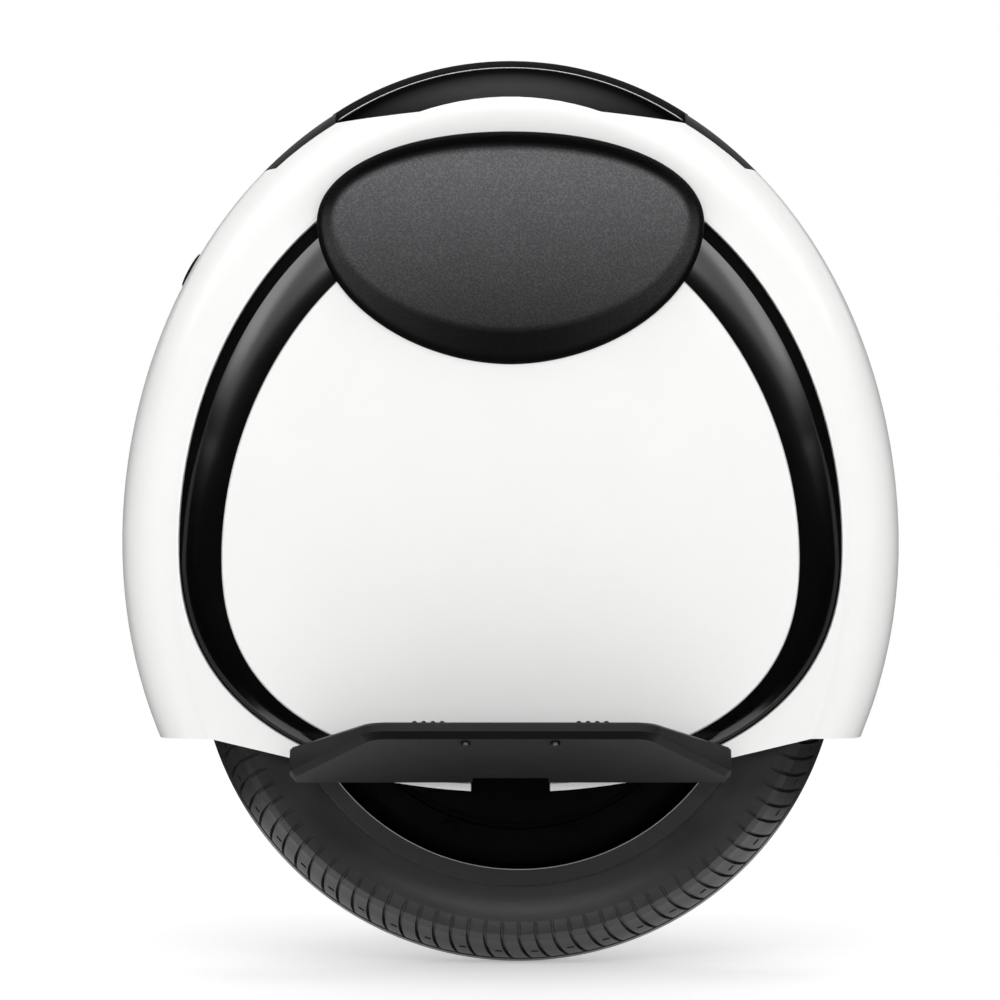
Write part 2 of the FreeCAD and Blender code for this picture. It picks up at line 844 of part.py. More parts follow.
def build_axle():
    end = size.axle_half_length
    bevel = size.washer_thickness
    body = lathe("Axle", [
        (size.axle_bore_radius, -end),
        (size.axle_radius - bevel, -end),
        (size.axle_radius, -end + bevel),
        (size.axle_radius, end - bevel),
        (size.axle_radius - bevel, end),
        (size.axle_bore_radius, end),
    ])
    exit_hole = new_sketch(body, "XY_Plane")
    add_circle(exit_hole, nil, cable_lane(), size.cable_radius + size.seat_gap)
    pocket(body, exit_hole, size.axle_radius * 2, reversed_way=True)
    keep(body, "axle")
    spider = lathe("Carrier", [
        (size.axle_radius, -size.carrier_hub_half_width),
        (size.carrier_hub_radius, -size.carrier_hub_half_width),
        (size.carrier_hub_radius, -size.carrier_web_half_width),
        (size.stator_bore_radius - size.carrier_rim_thickness, -size.carrier_web_half_width),
        (size.stator_bore_radius - size.carrier_rim_thickness, -size.stator_half_width),
        (size.stator_bore_radius, -size.stator_half_width),
        (size.stator_bore_radius, size.stator_half_width),
        (size.stator_bore_radius - size.carrier_rim_thickness, size.stator_half_width),
        (size.stator_bore_radius - size.carrier_rim_thickness, size.carrier_web_half_width),
        (size.carrier_hub_radius, size.carrier_web_half_width),
        (size.carrier_hub_radius, size.carrier_hub_half_width),
        (size.axle_radius, size.carrier_hub_half_width),
    ])
    holes = new_sketch(spider, "XZ_Plane")
    between = (size.stator_bore_radius + size.carrier_hub_radius) * 0.5
    add_circle(holes, nil, between, size.carrier_hole_radius)
    repeat_round(spider, pocket_through(spider, holes), holes, carrier_hole_count)
    keep(spider, "stator_carrier")


def cable_lane():
    """How far left of the middle the motor cable leaves the axle."""
    return size.cover_hub_depth + size.cable_radius + size.cable_clearance


def build_axle_nuts():
    inner = size.hanger_depth + size.hanger_thickness
    washer = new_body("Washer")
    ring = new_sketch(washer, "XZ_Plane")
    add_circle(ring, nil, nil, size.washer_radius)
    add_circle(ring, nil, nil, size.axle_radius + size.running_clearance)
    pad(washer, ring, size.washer_thickness)
    place(washer, size.axle_shift, -inner, size.tyre_radius)
    nut = new_body("Nut")
    hexagon = new_sketch(nut, "XZ_Plane")
    corner_reach = size.nut_across * (1 / math.sqrt(3))
    turns = [Size(360 * step / nut_sides, str(360 * step / nut_sides)) for step in range(nut_sides)]
    add_outline(hexagon, [corner_reach.turned(turn) for turn in turns])
    add_circle(hexagon, nil, nil, size.axle_radius + size.running_clearance)
    pad(nut, hexagon, size.axle_half_length - inner - size.washer_thickness)
    place(nut, size.axle_shift, -inner - size.washer_thickness, size.tyre_radius)
    keep_both(washer, "axle_washers")
    keep_both(nut, "axle_nuts")


# hangers and pedals

def build_hanger():
    body = new_body("Hanger")
    left = size.axle_shift - size.hanger_boss_radius
    right = size.axle_shift + size.hanger_boss_radius
    low = size.hinge_height - size.lug_radius
    shoulder = size.hinge_height + size.lug_shoulder
    top = size.tyre_radius + size.hanger_boss_radius
    plate = outline_sketch(body, "XZ_Plane", [
        (-size.lug_half_width, low),
        (size.lug_half_width, low),
        (size.lug_half_width, shoulder),
        (right, size.tyre_radius, size.hanger_boss_radius),
        (size.axle_shift, top, size.hanger_boss_radius),
        (left, size.tyre_radius),
        (-size.lug_half_width, shoulder),
    ])
    add_circle(plate, size.axle_shift, size.tyre_radius, size.axle_radius + size.running_clearance)
    pad(body, plate, size.hanger_thickness)
    inner = size.hinge_depth - size.hanger_depth
    lug = outline_sketch(body, "YZ_Plane", [
        (nil, low),
        (nil, size.hinge_height + size.lug_radius),
        (-inner, size.hinge_height + size.lug_radius, size.lug_radius),
        (-inner - size.lug_radius, size.hinge_height, size.lug_radius),
        (-inner, low),
    ])
    pad(body, lug, size.lug_half_width * 2, both_ways=True)
    bore = new_sketch(body, "YZ_Plane")
    add_circle(bore, -inner, size.hinge_height, size.hinge_pin_radius)
    pocket_through(body, bore)
    place(body, nil, -size.hanger_depth, nil)
    keep_pair(body, "pedal_hanger")
    pin = cylinder("HingePin", size.hinge_pin_radius, size.hinge_barrel_half_length * 2)
    place(pin, -size.hinge_barrel_half_length, -size.hinge_depth, size.hinge_height, along_x)
    keep_pair(pin, "hinge_pin")


def place_on_hinge(item):
    tilt = Rotation(Vector(-1, 0, 0), size.pedal_tilt_angle.value)
    place(item, nil, -size.hinge_depth, size.hinge_height, tilt)
    item.setExpression("Placement.Rotation.Angle", f"{size.pedal_tilt_angle.text} * 1 deg")


def build_pedal():
    body = new_body("Pedal")
    inner = -size.pedal_inner_edge
    outer = -size.pedal_reach
    wedge = outline_sketch(body, "YZ_Plane", [
        (inner, -size.pedal_root_drop),
        (inner, size.pedal_top),
        (outer, size.pedal_top),
        (outer, -size.pedal_tip_drop),
    ])
    pad(body, wedge, size.pedal_half_length * 2, both_ways=True)
    cut_pedal_corners(body, outer)

    def is_upright(edge):
        return edge.BoundBox.ZLength > max(edge.BoundBox.XLength, edge.BoundBox.YLength) * 2

    def is_corner(edge):
        return is_upright(edge) and abs(edge.BoundBox.YMin - outer.value) < size.seat_gap.value

    def is_root_corner(edge):
        from_bend = edge.BoundBox.YMin + size.pedal_straight_end.value
        return is_upright(edge) and abs(from_bend) < size.seat_gap.value

    dress_edges(body, "Fillet", size.pedal_corner_radius, is_corner)
    dress_edges(body, "Fillet", size.pedal_root_corner_radius, is_root_corner)

    def is_under_rim(edge):
        return edge.BoundBox.ZMax < 0 and edge.BoundBox.YMin < inner.value * 2

    dress_edges(body, "Chamfer", size.pedal_bevel, is_under_rim)

    def is_top_rim(edge):
        return edge.BoundBox.ZMin > size.pedal_top.value - size.seat_gap.value

    dress_edges(body, "Chamfer", size.pedal_top_bevel, is_top_rim)
    barrel = new_sketch(body, "YZ_Plane")
    add_circle(barrel, nil, nil, size.hinge_barrel_radius)
    pad(body, barrel, size.hinge_barrel_half_length * 2, both_ways=True)
    slot = new_sketch(body, "XY_Plane")
    slot_half = size.lug_half_width + size.hinge_side_gap
    add_rectangle(slot, -slot_half, slot_half, -size.lug_slot_reach, size.lug_slot_reach)
    pocket_through(body, slot)
    bore = new_sketch(body, "YZ_Plane")
    add_circle(bore, nil, nil, size.hinge_pin_radius + size.running_clearance)
    pocket_through(body, bore)
    sink_grips(body)
    drill_bumpers(body)
    place_on_hinge(body)
    keep_pair(body, "pedal")


def cut_pedal_corners(body, outer):
    """Draw the plan in from the root's full length to the narrower outer edge."""
    corners = new_sketch(body, "XY_Plane")
    for side in (1, -1):
        add_outline(corners, [
            (size.pedal_half_length * side, -size.pedal_straight_end),
            (size.pedal_half_length * side, outer),
            (size.pedal_outer_half_length * side, outer),
        ])
    pocket_through(body, corners)


def grip_half_width():
    return size.grip_rib_spacing * ((rib_count - 1) / 2) + size.grip_margin


def grip_strips():
    """Middle, start and end of each grip strip on the right half of a pedal."""
    return (
        (size.grip_inner_offset, size.grip_inner_start, size.grip_inner_end),
        (size.grip_outer_offset, size.grip_outer_start, size.grip_outer_end),
    )


def sink_grips(body):
    sketch = new_sketch(body, "XY_Plane")
    half = grip_half_width()
    for middle, start, end in grip_strips():
        for side in (1, -1):
            add_rectangle(sketch, middle * side - half, middle * side + half, -end, -start)
    sketch.AttachmentOffset = Placement(Vector(0, 0, size.pedal_top.value), Rotation())
    sketch.setExpression("AttachmentOffset.Base.z", size.pedal_top.text)
    pocket(body, sketch, size.grip_base)


def build_grips():
    strips = []
    half = grip_half_width()
    low = size.pedal_top - size.grip_base
    for number, (middle, start, end) in enumerate(grip_strips()):
        body = new_body(f"Grip{number}")
        corners = [(middle - half, low), (middle + half, low), (middle + half, size.pedal_top)]
        for rib in range(rib_count):
            centre = middle + size.grip_rib_spacing * ((rib_count - 1) / 2 - rib)
            crest = size.pedal_top + size.grip_rib_radius
            corners.append((centre + size.grip_rib_radius, size.pedal_top, size.grip_rib_radius))
            corners.append((centre, crest, size.grip_rib_radius))
            corners.append((centre - size.grip_rib_radius, size.pedal_top))
        corners.append((middle - half, size.pedal_top))
        sketch = outline_sketch(body, "XZ_Plane", corners)
        sketch.AttachmentOffset = Placement(Vector(0, 0, start.value), Rotation())
        sketch.setExpression("AttachmentOffset.Base.z", start.text)
        pad(body, sketch, end - start)
        other = doc.addObject("Part::Mirroring", f"Grip{number}Other")
        other.Source = body
        other.Normal = Vector(1, 0, 0)
        strips += [body, other]
    grips = group("Grips", strips)
    place_on_hinge(grips)
    keep_pair(grips, "pedal_grips")


def under_slope():
    """Tilt of the pedal's underside from its top, in degrees."""
    drop = size.pedal_root_drop.value - size.pedal_tip_drop.value
    return math.degrees(math.atan2(drop, size.pedal_reach.value - size.pedal_inner_edge.value))


def under_at(reach):
    """Height of the pedal's underside at a distance from the hinge."""
    start = size.pedal_inner_edge.value
    share = (reach.value - start) / (size.pedal_reach.value - start)
    return -(size.pedal_root_drop * (1 - share) + size.pedal_tip_drop * share)


def drill_bumpers(body):
    sketch = new_sketch(body, "XY_Plane")
    for side in (1, -1):
        add_circle(sketch, size.bumper_spread * side, -size.bumper_reach, size.bumper_shank_radius)
    sketch.AttachmentOffset = Placement(Vector(0, 0, under_at(size.bumper_reach).value), Rotation())
    sketch.setExpression("AttachmentOffset.Base.z", under_at(size.bumper_reach).text)
    pocket(body, sketch, size.bumper_shank_length * 2, both_ways=True)


def build_bumpers():
    screws = []
    for side in (1, -1):
        low = under_at(size.bumper_reach)
        shank = cylinder(f"BumperShank{side}", size.bumper_shank_radius, size.bumper_shank_length)
        head = cylinder(f"BumperHead{side}", size.bumper_radius, size.bumper_height)
        lowest = low - size.bumper_height - size.bumper_radius * math.sin(math.radians(under_slope()))
        place(shank, size.bumper_spread * side, -size.bumper_reach, low - size.seat_gap)
        place(head, size.bumper_spread * side, -size.bumper_reach, lowest)
        screw = doc.addObject("Part::Fuse", f"Bumper{side}")
        screw.Base = shank
        screw.Tool = head
        screws.append(screw)
    bumpers = group("Bumpers", screws)
    place_on_hinge(bumpers)
    keep_pair(bumpers, "pedal_bumpers")


# shell

class Egg:
    """Closed outline of two half ellipses, seen from the side; its halves can be squarer or rounder."""

    def __init__(self, half_length, rise, drop, centre, rise_power=2.0, drop_power=2.0):
        self.half_length = half_length
        self.rise = rise
        self.drop = drop
        self.centre = centre
        self.rise_power = rise_power
        self.drop_power = drop_power

    def grown(self, amount):
        grown_sizes = (self.half_length + amount, self.rise + amount, self.drop + amount)
        return Egg(*grown_sizes, self.centre, self.rise_power, self.drop_power)

    def towards(self, other, share):
        def blend(name):
            return getattr(self, name) * (1 - share) + getattr(other, name) * share

        names = ("half_length", "rise", "drop", "centre", "rise_power", "drop_power")
        return Egg(*[blend(name) for name in names])

    def point(self, turn, y):
        """Point at an angle from straight forward, turning up."""
        reach, power = (self.rise, self.rise_power) if math.sin(turn) >= 0 else (self.drop, self.drop_power)
        across = math.copysign(abs(math.cos(turn)) ** (2 / power), math.cos(turn)) * self.half_length
        up = math.copysign(abs(math.sin(turn)) ** (2 / power), math.sin(turn)) * reach
        return Vector(across, y, self.centre + up)

    def wire(self, lie):
        """Outline laid at one depth, or on a slope given as a function of height."""
        slope = lie if callable(lie) else lambda height: lie
        turns = [2 * math.pi * step / curve_steps for step in range(curve_steps)]
        points = [self.point(turn, 0) for turn in turns]
        curve = Part.BSplineCurve()
        laid = [Vector(point.x, slope(point.z), point.z) for point in points]
        curve.interpolate(Points=laid, PeriodicFlag=True)
        return Part.Wire(curve.toShape())

    def arcs(self, slope):
        """Outline of short arcs, laid on a slope given as a function of height."""
        turns = [2 * math.pi * step / curve_steps for step in range(curve_steps + 1)]
        points = [self.point(turn, 0) for turn in turns]
        laid = [Vector(point.x, slope(point.z), point.z) for point in points]
        trios = zip(laid[:-2:2], laid[1:-1:2], laid[2::2])
        return Part.Wire([Part.Arc(*trio).toShape() for trio in trios])

    def prism(self, near, far):
        """Solid from one depth on the right side of the machine to another."""
        return Part.Face(self.wire(-near)).extrude(Vector(0, near - far, 0))


def shell_egg():
    middle = size.shell_centre_height.value
    return Egg(size.shell_half_length.value, size.shell_rise.value, size.shell_drop.value, middle)


def side_egg():
    rim = size.side_rim
    reach = (size.ring_half_length + rim, size.ring_rise + rim, size.side_drop, size.ring_centre_height)
    return Egg(*[length.value for length in reach])


def ring_egg():
    middle = size.ring_centre_height.value
    reach = (size.ring_half_length.value, size.ring_rise.value, size.ring_drop.value)
    return Egg(*reach, middle, ring_rise_power, ring_drop_power)


def panel_egg():
    middle = size.panel_centre_height.value
    reach = (size.panel_half_length.value, size.panel_rise.value, size.panel_drop.value)
    return Egg(*reach, middle, panel_rise_power, panel_drop_power)


def shell_form(inset):
    """Whole outer form of the body, drawn in by an inset: full in the middle, flat at the sides."""
    depth = size.shell_depth.value - inset
    middle = shell_egg().grown(-inset)
    side = side_egg().grown(-inset)
    wires = []
    for step in range(-shell_steps, shell_steps + 1):
        turn = math.pi / 2 * step / shell_steps
        share = abs(math.cos(turn)) ** (2 / shell_power) if abs(step) < shell_steps else 0
        y = math.copysign(abs(math.sin(turn)) ** (2 / shell_power), step) * depth
        wires.append(side.towards(middle, share).wire(y))
    return Part.makeLoft(wires, True, False)


def far():
    """A distance beyond every piece, for tools that cut right through."""
    return size.handle_top_height.value


def above(outline, middle):
    """Everything above an outline that is the same fore and aft, with an arc across the middle."""
    front = [Vector(x.value, -far(), z.value) for x, z in outline]
    front.append(Vector(front[-1].x, -far(), 2 * far()))
    rear = [Vector(-point.x, point.y, point.z) for point in front]
    edges = [Part.Arc(rear[0], Vector(0, -far(), middle.value), front[0]).toShape()]
    for chain in (front, rear):
        edges += [Part.makeLine(start, end) for start, end in zip(chain, chain[1:])]
    edges.append(Part.makeLine(front[-1], rear[-1]))
    face = Part.Face(Part.Wire(Part.sortEdges(edges)[0]))
    return face.extrude(Vector(0, 2 * far(), 0))


def above_skirt(lift=nil):
    outline = [
        (size.skirt_foot, size.skirt_height + lift),
        (size.fender_foot, size.fender_height + lift),
        (size.shell_half_length * overrun_share, size.fender_height + lift),
    ]
    return above(outline, size.skirt_low_height + lift)


def above_mouth():
    outline = [
        (size.well_kink_half_length, size.well_kink_height),
        (size.well_mouth_half_length, size.well_mouth_height),
    ]
    return above(outline, size.well_crest_height)


def right_half(clear):
    return Part.makeBox(2 * far(), far(), 2 * far(), Vector(-far(), -far() - clear, -far() / 2))


def lug_notch():
    half = size.lug_half_width.value + size.lug_notch_clearance.value
    depth = size.arch_depth.value + size.arch_wall.value
    return Part.makeBox(2 * half, far(), size.lug_notch_height.value, Vector(-half, -far() - depth, 0))


def tail_tools(gap):
    """Everything above the curves on which the handle's broad ends meet the shell, fore and aft."""
    tools = []
    for side in (1, -1):
        corners = [
            (size.well_mouth_half_length + size.seat_gap, size.well_mouth_height),
            (size.tail_middle_half_length, size.tail_middle_height),
            (size.tail_knee_half_length, size.tail_knee_height),
            (size.tail_tip_half_length, size.tail_tip_height),
        ]
        root, middle, knee, tip = [Vector(side * (x.value - gap), -far(), z.value - gap) for x, z in corners]
        over_tip = Vector(tip.x, tip.y, 2 * far())
        over_root = Vector(root.x, root.y, 2 * far())
        edges = [Part.Arc(root, middle, knee).toShape()]
        rest = [knee, tip, over_tip, over_root, root]
        edges += [Part.makeLine(start, end) for start, end in zip(rest, rest[1:])]
        tools.append(Part.Face(Part.Wire(edges)).extrude(Vector(0, 2 * far(), 0)))
    return tools


def lamp_block(height, half_height, half_width, start, end, play):
    """Rounded slot along the machine from one place to another."""
    up = half_height.value - play
    out = half_width.value - play
    block = Part.makeBox(abs(end - start), 2 * out, 2 * up, Vector(min(start, end), -out, height.value - up))
    long_edges = [edge for edge in block.Edges if edge.BoundBox.XLength > play]
    return block.makeFillet(min(up, out) - size.running_clearance.value, long_edges)


def head_lamp(play):
    lamp = (size.head_lamp_height, size.head_lamp_half_height, size.head_lamp_half_width)
    return lamp_block(*lamp, size.head_lamp_back.value, far(), play)


def tail_lamp(play):
    lamp = (size.tail_lamp_height, size.tail_lamp_half_height, size.tail_lamp_half_width)
    return lamp_block(*lamp, -size.tail_lamp_back.value, -far(), play)


def charge_point():
    """Middle of the charging place on the shell, and the way out from it."""
    egg = shell_egg()
    point = egg.point(math.pi - math.radians(size.charge_angle.value), 0)
    slope = Vector(point.x / egg.half_length**2, 0, (point.z - egg.centre) / egg.rise**2)
    return point, slope.normalize()


def charge_rod(radius, inside, outside):
    point, outward = charge_point()
    return Part.makeCylinder(radius, inside + outside, point - outward * inside, outward)


def screw_places():
    """Where the shell's screws go: on the ledge under the trim ring, low and midway, fore and aft."""
    ledge = ring_egg().grown(-size.ledge_width.value / 2)
    low_turn = math.radians(-size.shell_screw_angle.value)
    places = []
    for turn in (0, low_turn):
        forward = ledge.point(turn, 0)
        places.append(forward)
        places.append(Vector(-forward.x, 0, forward.z))
    return places


def screw_rod(place, radius, near, deep):
    return Part.makeCylinder(radius, deep - near, Vector(place.x, -near, place.z), Vector(0, -1, 0))


def build_shell():
    wall = size.shell_wall.value
    ledge_top = size.ledge_depth.value + size.ledge_thickness.value
    outside = size.shell_depth.value * 2
    shell = shell_form(0).cut(shell_form(wall)).common(right_half(size.shell_seam.value))
    ledge = ring_egg().grown(wall).prism(size.ledge_depth.value, size.shell_depth.value - wall / 2)
    shell = shell.fuse(ledge)
    cuts = [
        ring_egg().prism(ledge_top, outside),
        ring_egg().grown(-size.ledge_width.value).prism(size.ledge_depth.value - wall, outside),
        lug_notch(),
        above_mouth(),
        *tail_tools(size.seat_gap.value),
        head_lamp(0),
        tail_lamp(0),
        charge_rod(size.socket_radius.value + size.seat_gap.value, size.socket_length.value, wall),
    ]
    head_seat = ledge_top - size.shell_screw_head_height.value
    play = size.drop_in_play.value
    for place_at in screw_places():
        cuts.append(screw_rod(place_at, size.shell_screw_radius.value + play, 0, outside))
        cuts.append(screw_rod(place_at, size.shell_screw_head_radius.value + play, head_seat, outside))
    shell = shell.common(above_skirt()).fuse(shell_floor())
    for tool in cuts:
        shell = shell.cut(tool)
    keep_pair(formed("Shell", shell), "shell")


def shell_floor():
    """Flange along the lower edge that closes the shell up to the wheel arch."""
    wall = size.shell_wall.value
    gap = size.seat_gap.value
    reach = size.arch_depth.value + size.arch_wall.value + gap
    floor = shell_form(wall / 2).common(right_half(size.shell_seam.value))
    floor = floor.common(above_skirt().cut(above_skirt(size.shell_wall)))
    axle = Vector(size.axle_shift.value, -reach, size.tyre_radius.value)
    return floor.cut(Part.makeCylinder(arch_radius().value + gap, 2 * reach, axle, Vector(0, 1, 0)))


def build_trim():
    """Black ring in each side: a low channel next to the shell, then a rounded bank up to the panel."""
    ring = ring_egg().grown(-size.trim_gap.value)
    panel = panel_egg()
    base = size.ledge_depth.value + size.ledge_thickness.value
    foot = base + size.trim_base_thickness.value
    crest = size.trim_crest_depth.value
    wires = []
    for along, up in zip(trim_bank_shares, trim_rise_shares):
        wires.append(ring.towards(panel, along).wire(-(base + (crest - base) * up)))
    bank = Part.makeLoft(wires, True, False)
    trim = ring.prism(base, foot).fuse(bank)
    step = crest - size.panel_thickness.value - size.seat_gap.value
    trim = trim.cut(panel.prism(step, crest * 2))
    trim = trim.cut(panel.grown(-size.trim_step_width.value).prism(base / 2, crest * 2))
    trim = trim.common(above_skirt()).cut(lug_notch())
    keep_pair(formed("Trim", trim), "trim_ring")


def build_panel():
    crest = size.trim_crest_depth.value
    back = crest - size.panel_thickness.value
    edge = size.panel_edge_radius.value
    outline = panel_egg().grown(-size.seat_gap.value)
    wires = [outline.wire(-back), outline.wire(edge - crest), outline.grown(-edge).wire(-crest)]
    plate = Part.makeLoft(wires, True, True)
    keep_pair(formed("Panel", plate.cut(lug_notch())), "side_panel")


def build_leg_pad():
    """Scooped pad: a brow stands over a face that leans out to a bevelled chin."""
    border = size.pad_border.value
    middle = size.pad_centre_height.value
    reach = (size.pad_half_length.value, size.pad_rise.value, size.pad_drop.value)
    rim = Egg(*reach, middle, pad_rise_power, pad_drop_power)
    inner_reach = (reach[0] - border, reach[1] - border, reach[2] - size.pad_chin_border.value)
    face = Egg(*inner_reach, middle, pad_rise_power, pad_drop_power)
    back = size.shell_depth.value + size.seat_gap.value
    rim_lie = lean(rim, size.pad_brow_depth.value, size.pad_chin_depth.value)
    face_lie = lean(face, size.pad_face_top_depth.value, size.pad_face_bottom_depth.value)
    back_lie = lean(rim, back, back)
    form = Part.makeLoft([rim.arcs(back_lie), rim.arcs(rim_lie), face.arcs(face_lie)], True, True)
    bed = size.trim_crest_depth.value + size.seat_gap.value
    keep_pair(formed("LegPad", form.cut(ring_egg().prism(back / 2, bed))), "leg_pad")


def lean(egg, top_depth, bottom_depth):
    """Slope on the right side that goes from one depth at an outline's top to another at its bottom."""
    top = egg.centre + egg.rise
    rate = (top_depth - bottom_depth) / (egg.rise + egg.drop)
    return lambda height: -(top_depth - rate * (top - height))


# handle

def across_disc(radius, half_width, middle):
    """Disc about a line across the machine at one height."""
    return Part.makeCylinder(radius, 2 * half_width, Vector(0, -half_width, middle), Vector(0, 1, 0))


def finger_hollow():
    """Hollow under the strap that leaves a rounded belly to grip, deepest in the middle."""
    wide = size.shell_depth.value
    half = size.belly_half_width.value
    low = size.belly_radius.value
    middle = size.belly_height.value - low
    shoulder = size.handle_edge_height.value - middle
    points = [Vector(0, y, middle + up) for y, up in (
        (half, shoulder), (wide, shoulder), (wide, 0), (-wide, 0), (-wide, shoulder), (-half, shoulder))]
    edges = [Part.makeLine(start, end) for start, end in zip(points, points[1:])]
    edges.append(Part.Arc(points[-1], Vector(0, 0, size.belly_height.value), points[0]).toShape())
    turned = Part.Face(Part.Wire(edges)).revolve(Vector(0, 0, middle), Vector(0, 1, 0), 360)
    inner = size.handle_inner_radius.value
    return across_disc(inner, wide, size.handle_edge_height.value - inner).common(turned)


def build_handle():
    """Strap over the hollow in the top, with a belly to grip and broad ends let into the shell."""
    outer = size.handle_outer_radius
    centre = (size.handle_top_height - outer).value
    disc = across_disc(outer.value, size.handle_half_width.value, centre)
    rims = [edge for edge in disc.Edges if isinstance(edge.Curve, Part.Circle)]
    disc = disc.makeFillet(size.handle_edge_radius.value, rims)
    reach = (size.well_mouth_half_length + size.handle_overlap).value
    strap = disc.common(Part.makeBox(2 * reach, far(), far(), Vector(-reach, -far() / 2, centre)))
    handle = strap.cut(finger_hollow())
    for tool in tail_tools(0):
        handle = handle.fuse(shell_form(0).common(tool))
    long_half = (size.lift_button_half_length + size.lift_button_play).value
    short_half = (size.lift_button_half_width + size.lift_button_play).value
    tall = (size.lift_button_height + size.lift_button_play).value
    corner = Vector(-long_half, -short_half, size.belly_height.value - tall)
    handle = handle.cut(Part.makeBox(2 * long_half, 2 * short_half, 2 * tall, corner))
    bow = formed("HandleBow", handle)
    button_foot = size.power_button_sink + size.power_button_height
    sunk = button_foot + size.power_button_travel + size.power_button_sink
    hole = cylinder("PowerHole", size.power_button_radius + size.drop_in_play, sunk * 2)
    place_on_bow(hole, outer - sunk)
    keep(subtract("Handle", bow, hole), "carry_handle")
    power = cylinder("PowerButton", size.power_button_radius, size.power_button_height)
    place_on_bow(power, outer - button_foot)
    keep(power, "power_button")
    length = size.lift_button_half_length * 2
    width = size.lift_button_half_width * 2
    button = box("LiftButton", length, width, size.lift_button_height)
    low = size.belly_height - size.lift_button_travel
    place(button, -size.lift_button_half_length, -size.lift_button_half_width, low)
    keep(button, "lift_button")


def place_on_bow(item, radius):
    """Stand a piece on the handle's rear slope, along the bow's own radius."""
    across, up = radius.turned(size.power_button_angle)
    centre = size.handle_top_height - size.handle_outer_radius
    place(item, -across, nil, centre + up, Rotation(Vector(0, -1, 0), size.power_button_angle.value))
    item.setExpression("Placement.Rotation.Angle", f"{size.power_button_angle.text} * 1 deg")


def build_well():
    """Black lining of the hollow under the handle, standing on the ledge round the sides."""
    wall = size.well_wall.value
    clear = size.shell_wall.value + size.seat_gap.value
    half = size.well_mouth_half_length.value - size.seat_gap.value
    low = ring_egg().centre + ring_egg().rise + clear
    outside = shell_form(clear).common(Part.makeBox(2 * half, 2 * far(), far(), Vector(-half, -far(), low)))
    hollow = Part.makeBox(2 * (half - wall), 2 * far(), far(), Vector(wall - half, -far(), low + wall))
    inside = shell_form(clear + wall).common(hollow)
    keep(formed("Well", outside.cut(inside).cut(above_mouth())), "handle_well")


# wheel arch

def arch_radius():
    return size.tyre_radius + size.arch_clearance + size.arch_wall


def build_arch():
    outer = arch_radius()
    inner_face = -size.arch_depth
    outer_face = inner_face - size.arch_wall
    body = lathe("Arch", [
        (size.arch_slot_half_width, outer_face),
        (outer, outer_face),
        (outer, nil),
        (outer - size.arch_wall, nil),
        (outer - size.arch_wall, inner_face),
        (size.arch_slot_half_width, inner_face),
    ])
    lower = new_sketch(body, "XZ_Plane")
    beyond = outer * overrun_share
    shift = size.axle_shift
    fender = size.fender_height + size.arch_lift - size.tyre_radius
    skirt = size.skirt_height + size.arch_lift - size.tyre_radius
    add_outline(lower, [
        (-beyond, -beyond),
        (beyond, -beyond),
        (beyond, fender),
        (size.fender_foot - shift, fender),
        (size.skirt_foot - shift, skirt),
        (-size.skirt_foot - shift, skirt),
        (-size.fender_foot - shift, fender),
        (-beyond, fender),
    ])
    pocket_through(body, lower)
    slot = new_sketch(body, "XZ_Plane")
    half = size.arch_slot_half_width
    add_rectangle(slot, -half, half, -beyond, size.arch_slot_top)
    pocket(body, slot, size.arch_depth * 2, reversed_way=True)
    posts = []
    bores = []
    near = size.arch_depth + size.arch_wall * 0.5
    reach = size.ledge_depth - size.running_clearance - near
    for number, spot in enumerate(screw_places()):
        post = cylinder(f"Post{number}", size.post_radius, reach)
        bore = cylinder(f"PostBore{number}", size.shell_screw_radius, reach * 2)
        for rod in (post, bore):
            rod.Placement = Placement(Vector(spot.x, -near.value, spot.z), along_right)
            bind(rod, "Placement.Base.y", -near)
        posts.append(post)
        bores.append(bore)
    joined = doc.addObject("Part::MultiFuse", "ArchJoined")
    joined.Shapes = [body] + posts
    keep_pair(subtract("ArchDrilled", joined, group("PostBores", bores)), "wheel_arch")


def build_shell_screws():
    head_top = size.ledge_depth.value + size.ledge_thickness.value - size.running_clearance.value
    seat = size.ledge_depth.value + size.ledge_thickness.value - size.shell_screw_head_height.value
    tip = head_top - size.shell_screw_length.value
    screws = []
    for spot in screw_places():
        head = screw_rod(spot, size.shell_screw_head_radius.value, seat, head_top)
        screws.append(head.fuse(screw_rod(spot, size.shell_screw_radius.value, tip, seat)))
    keep_both(formed("ShellScrews", Part.makeCompound(screws)), "shell_screws")


# electrics

def cell_depth():
    floor = size.arch_depth + size.arch_wall + size.seat_gap + size.tray_floor
    return floor + size.running_clearance + size.cell_radius


def cell_rows():
    """Columns of cells in each row from the bottom, as offsets of their near ends in cell lengths."""
    wide = (-2, -1, 0, 1)
    narrow = (-1, 0)
    return (wide, wide, wide, wide, narrow, narrow)


def build_batteries():
    pitch = size.cell_radius * 2 + size.cell_gap
    first = size.tray_bottom + size.tray_wall + size.cell_gap + size.cell_radius
    cells = []
    for row, columns in enumerate(cell_rows()):
        for column in columns:
            cell = cylinder(f"Cell{len(cells)}", size.cell_radius, size.cell_length)
            aside = size.cable_gap * (0.5 if column >= 0 else -0.5)
            x = (size.cell_length + size.cell_gap) * column + aside
            place(cell, x, -cell_depth(), first + pitch * row, along_x)
            cells.append(cell)
    keep_pair(group("Cells", cells), "battery_cells")
    build_tray(pitch)


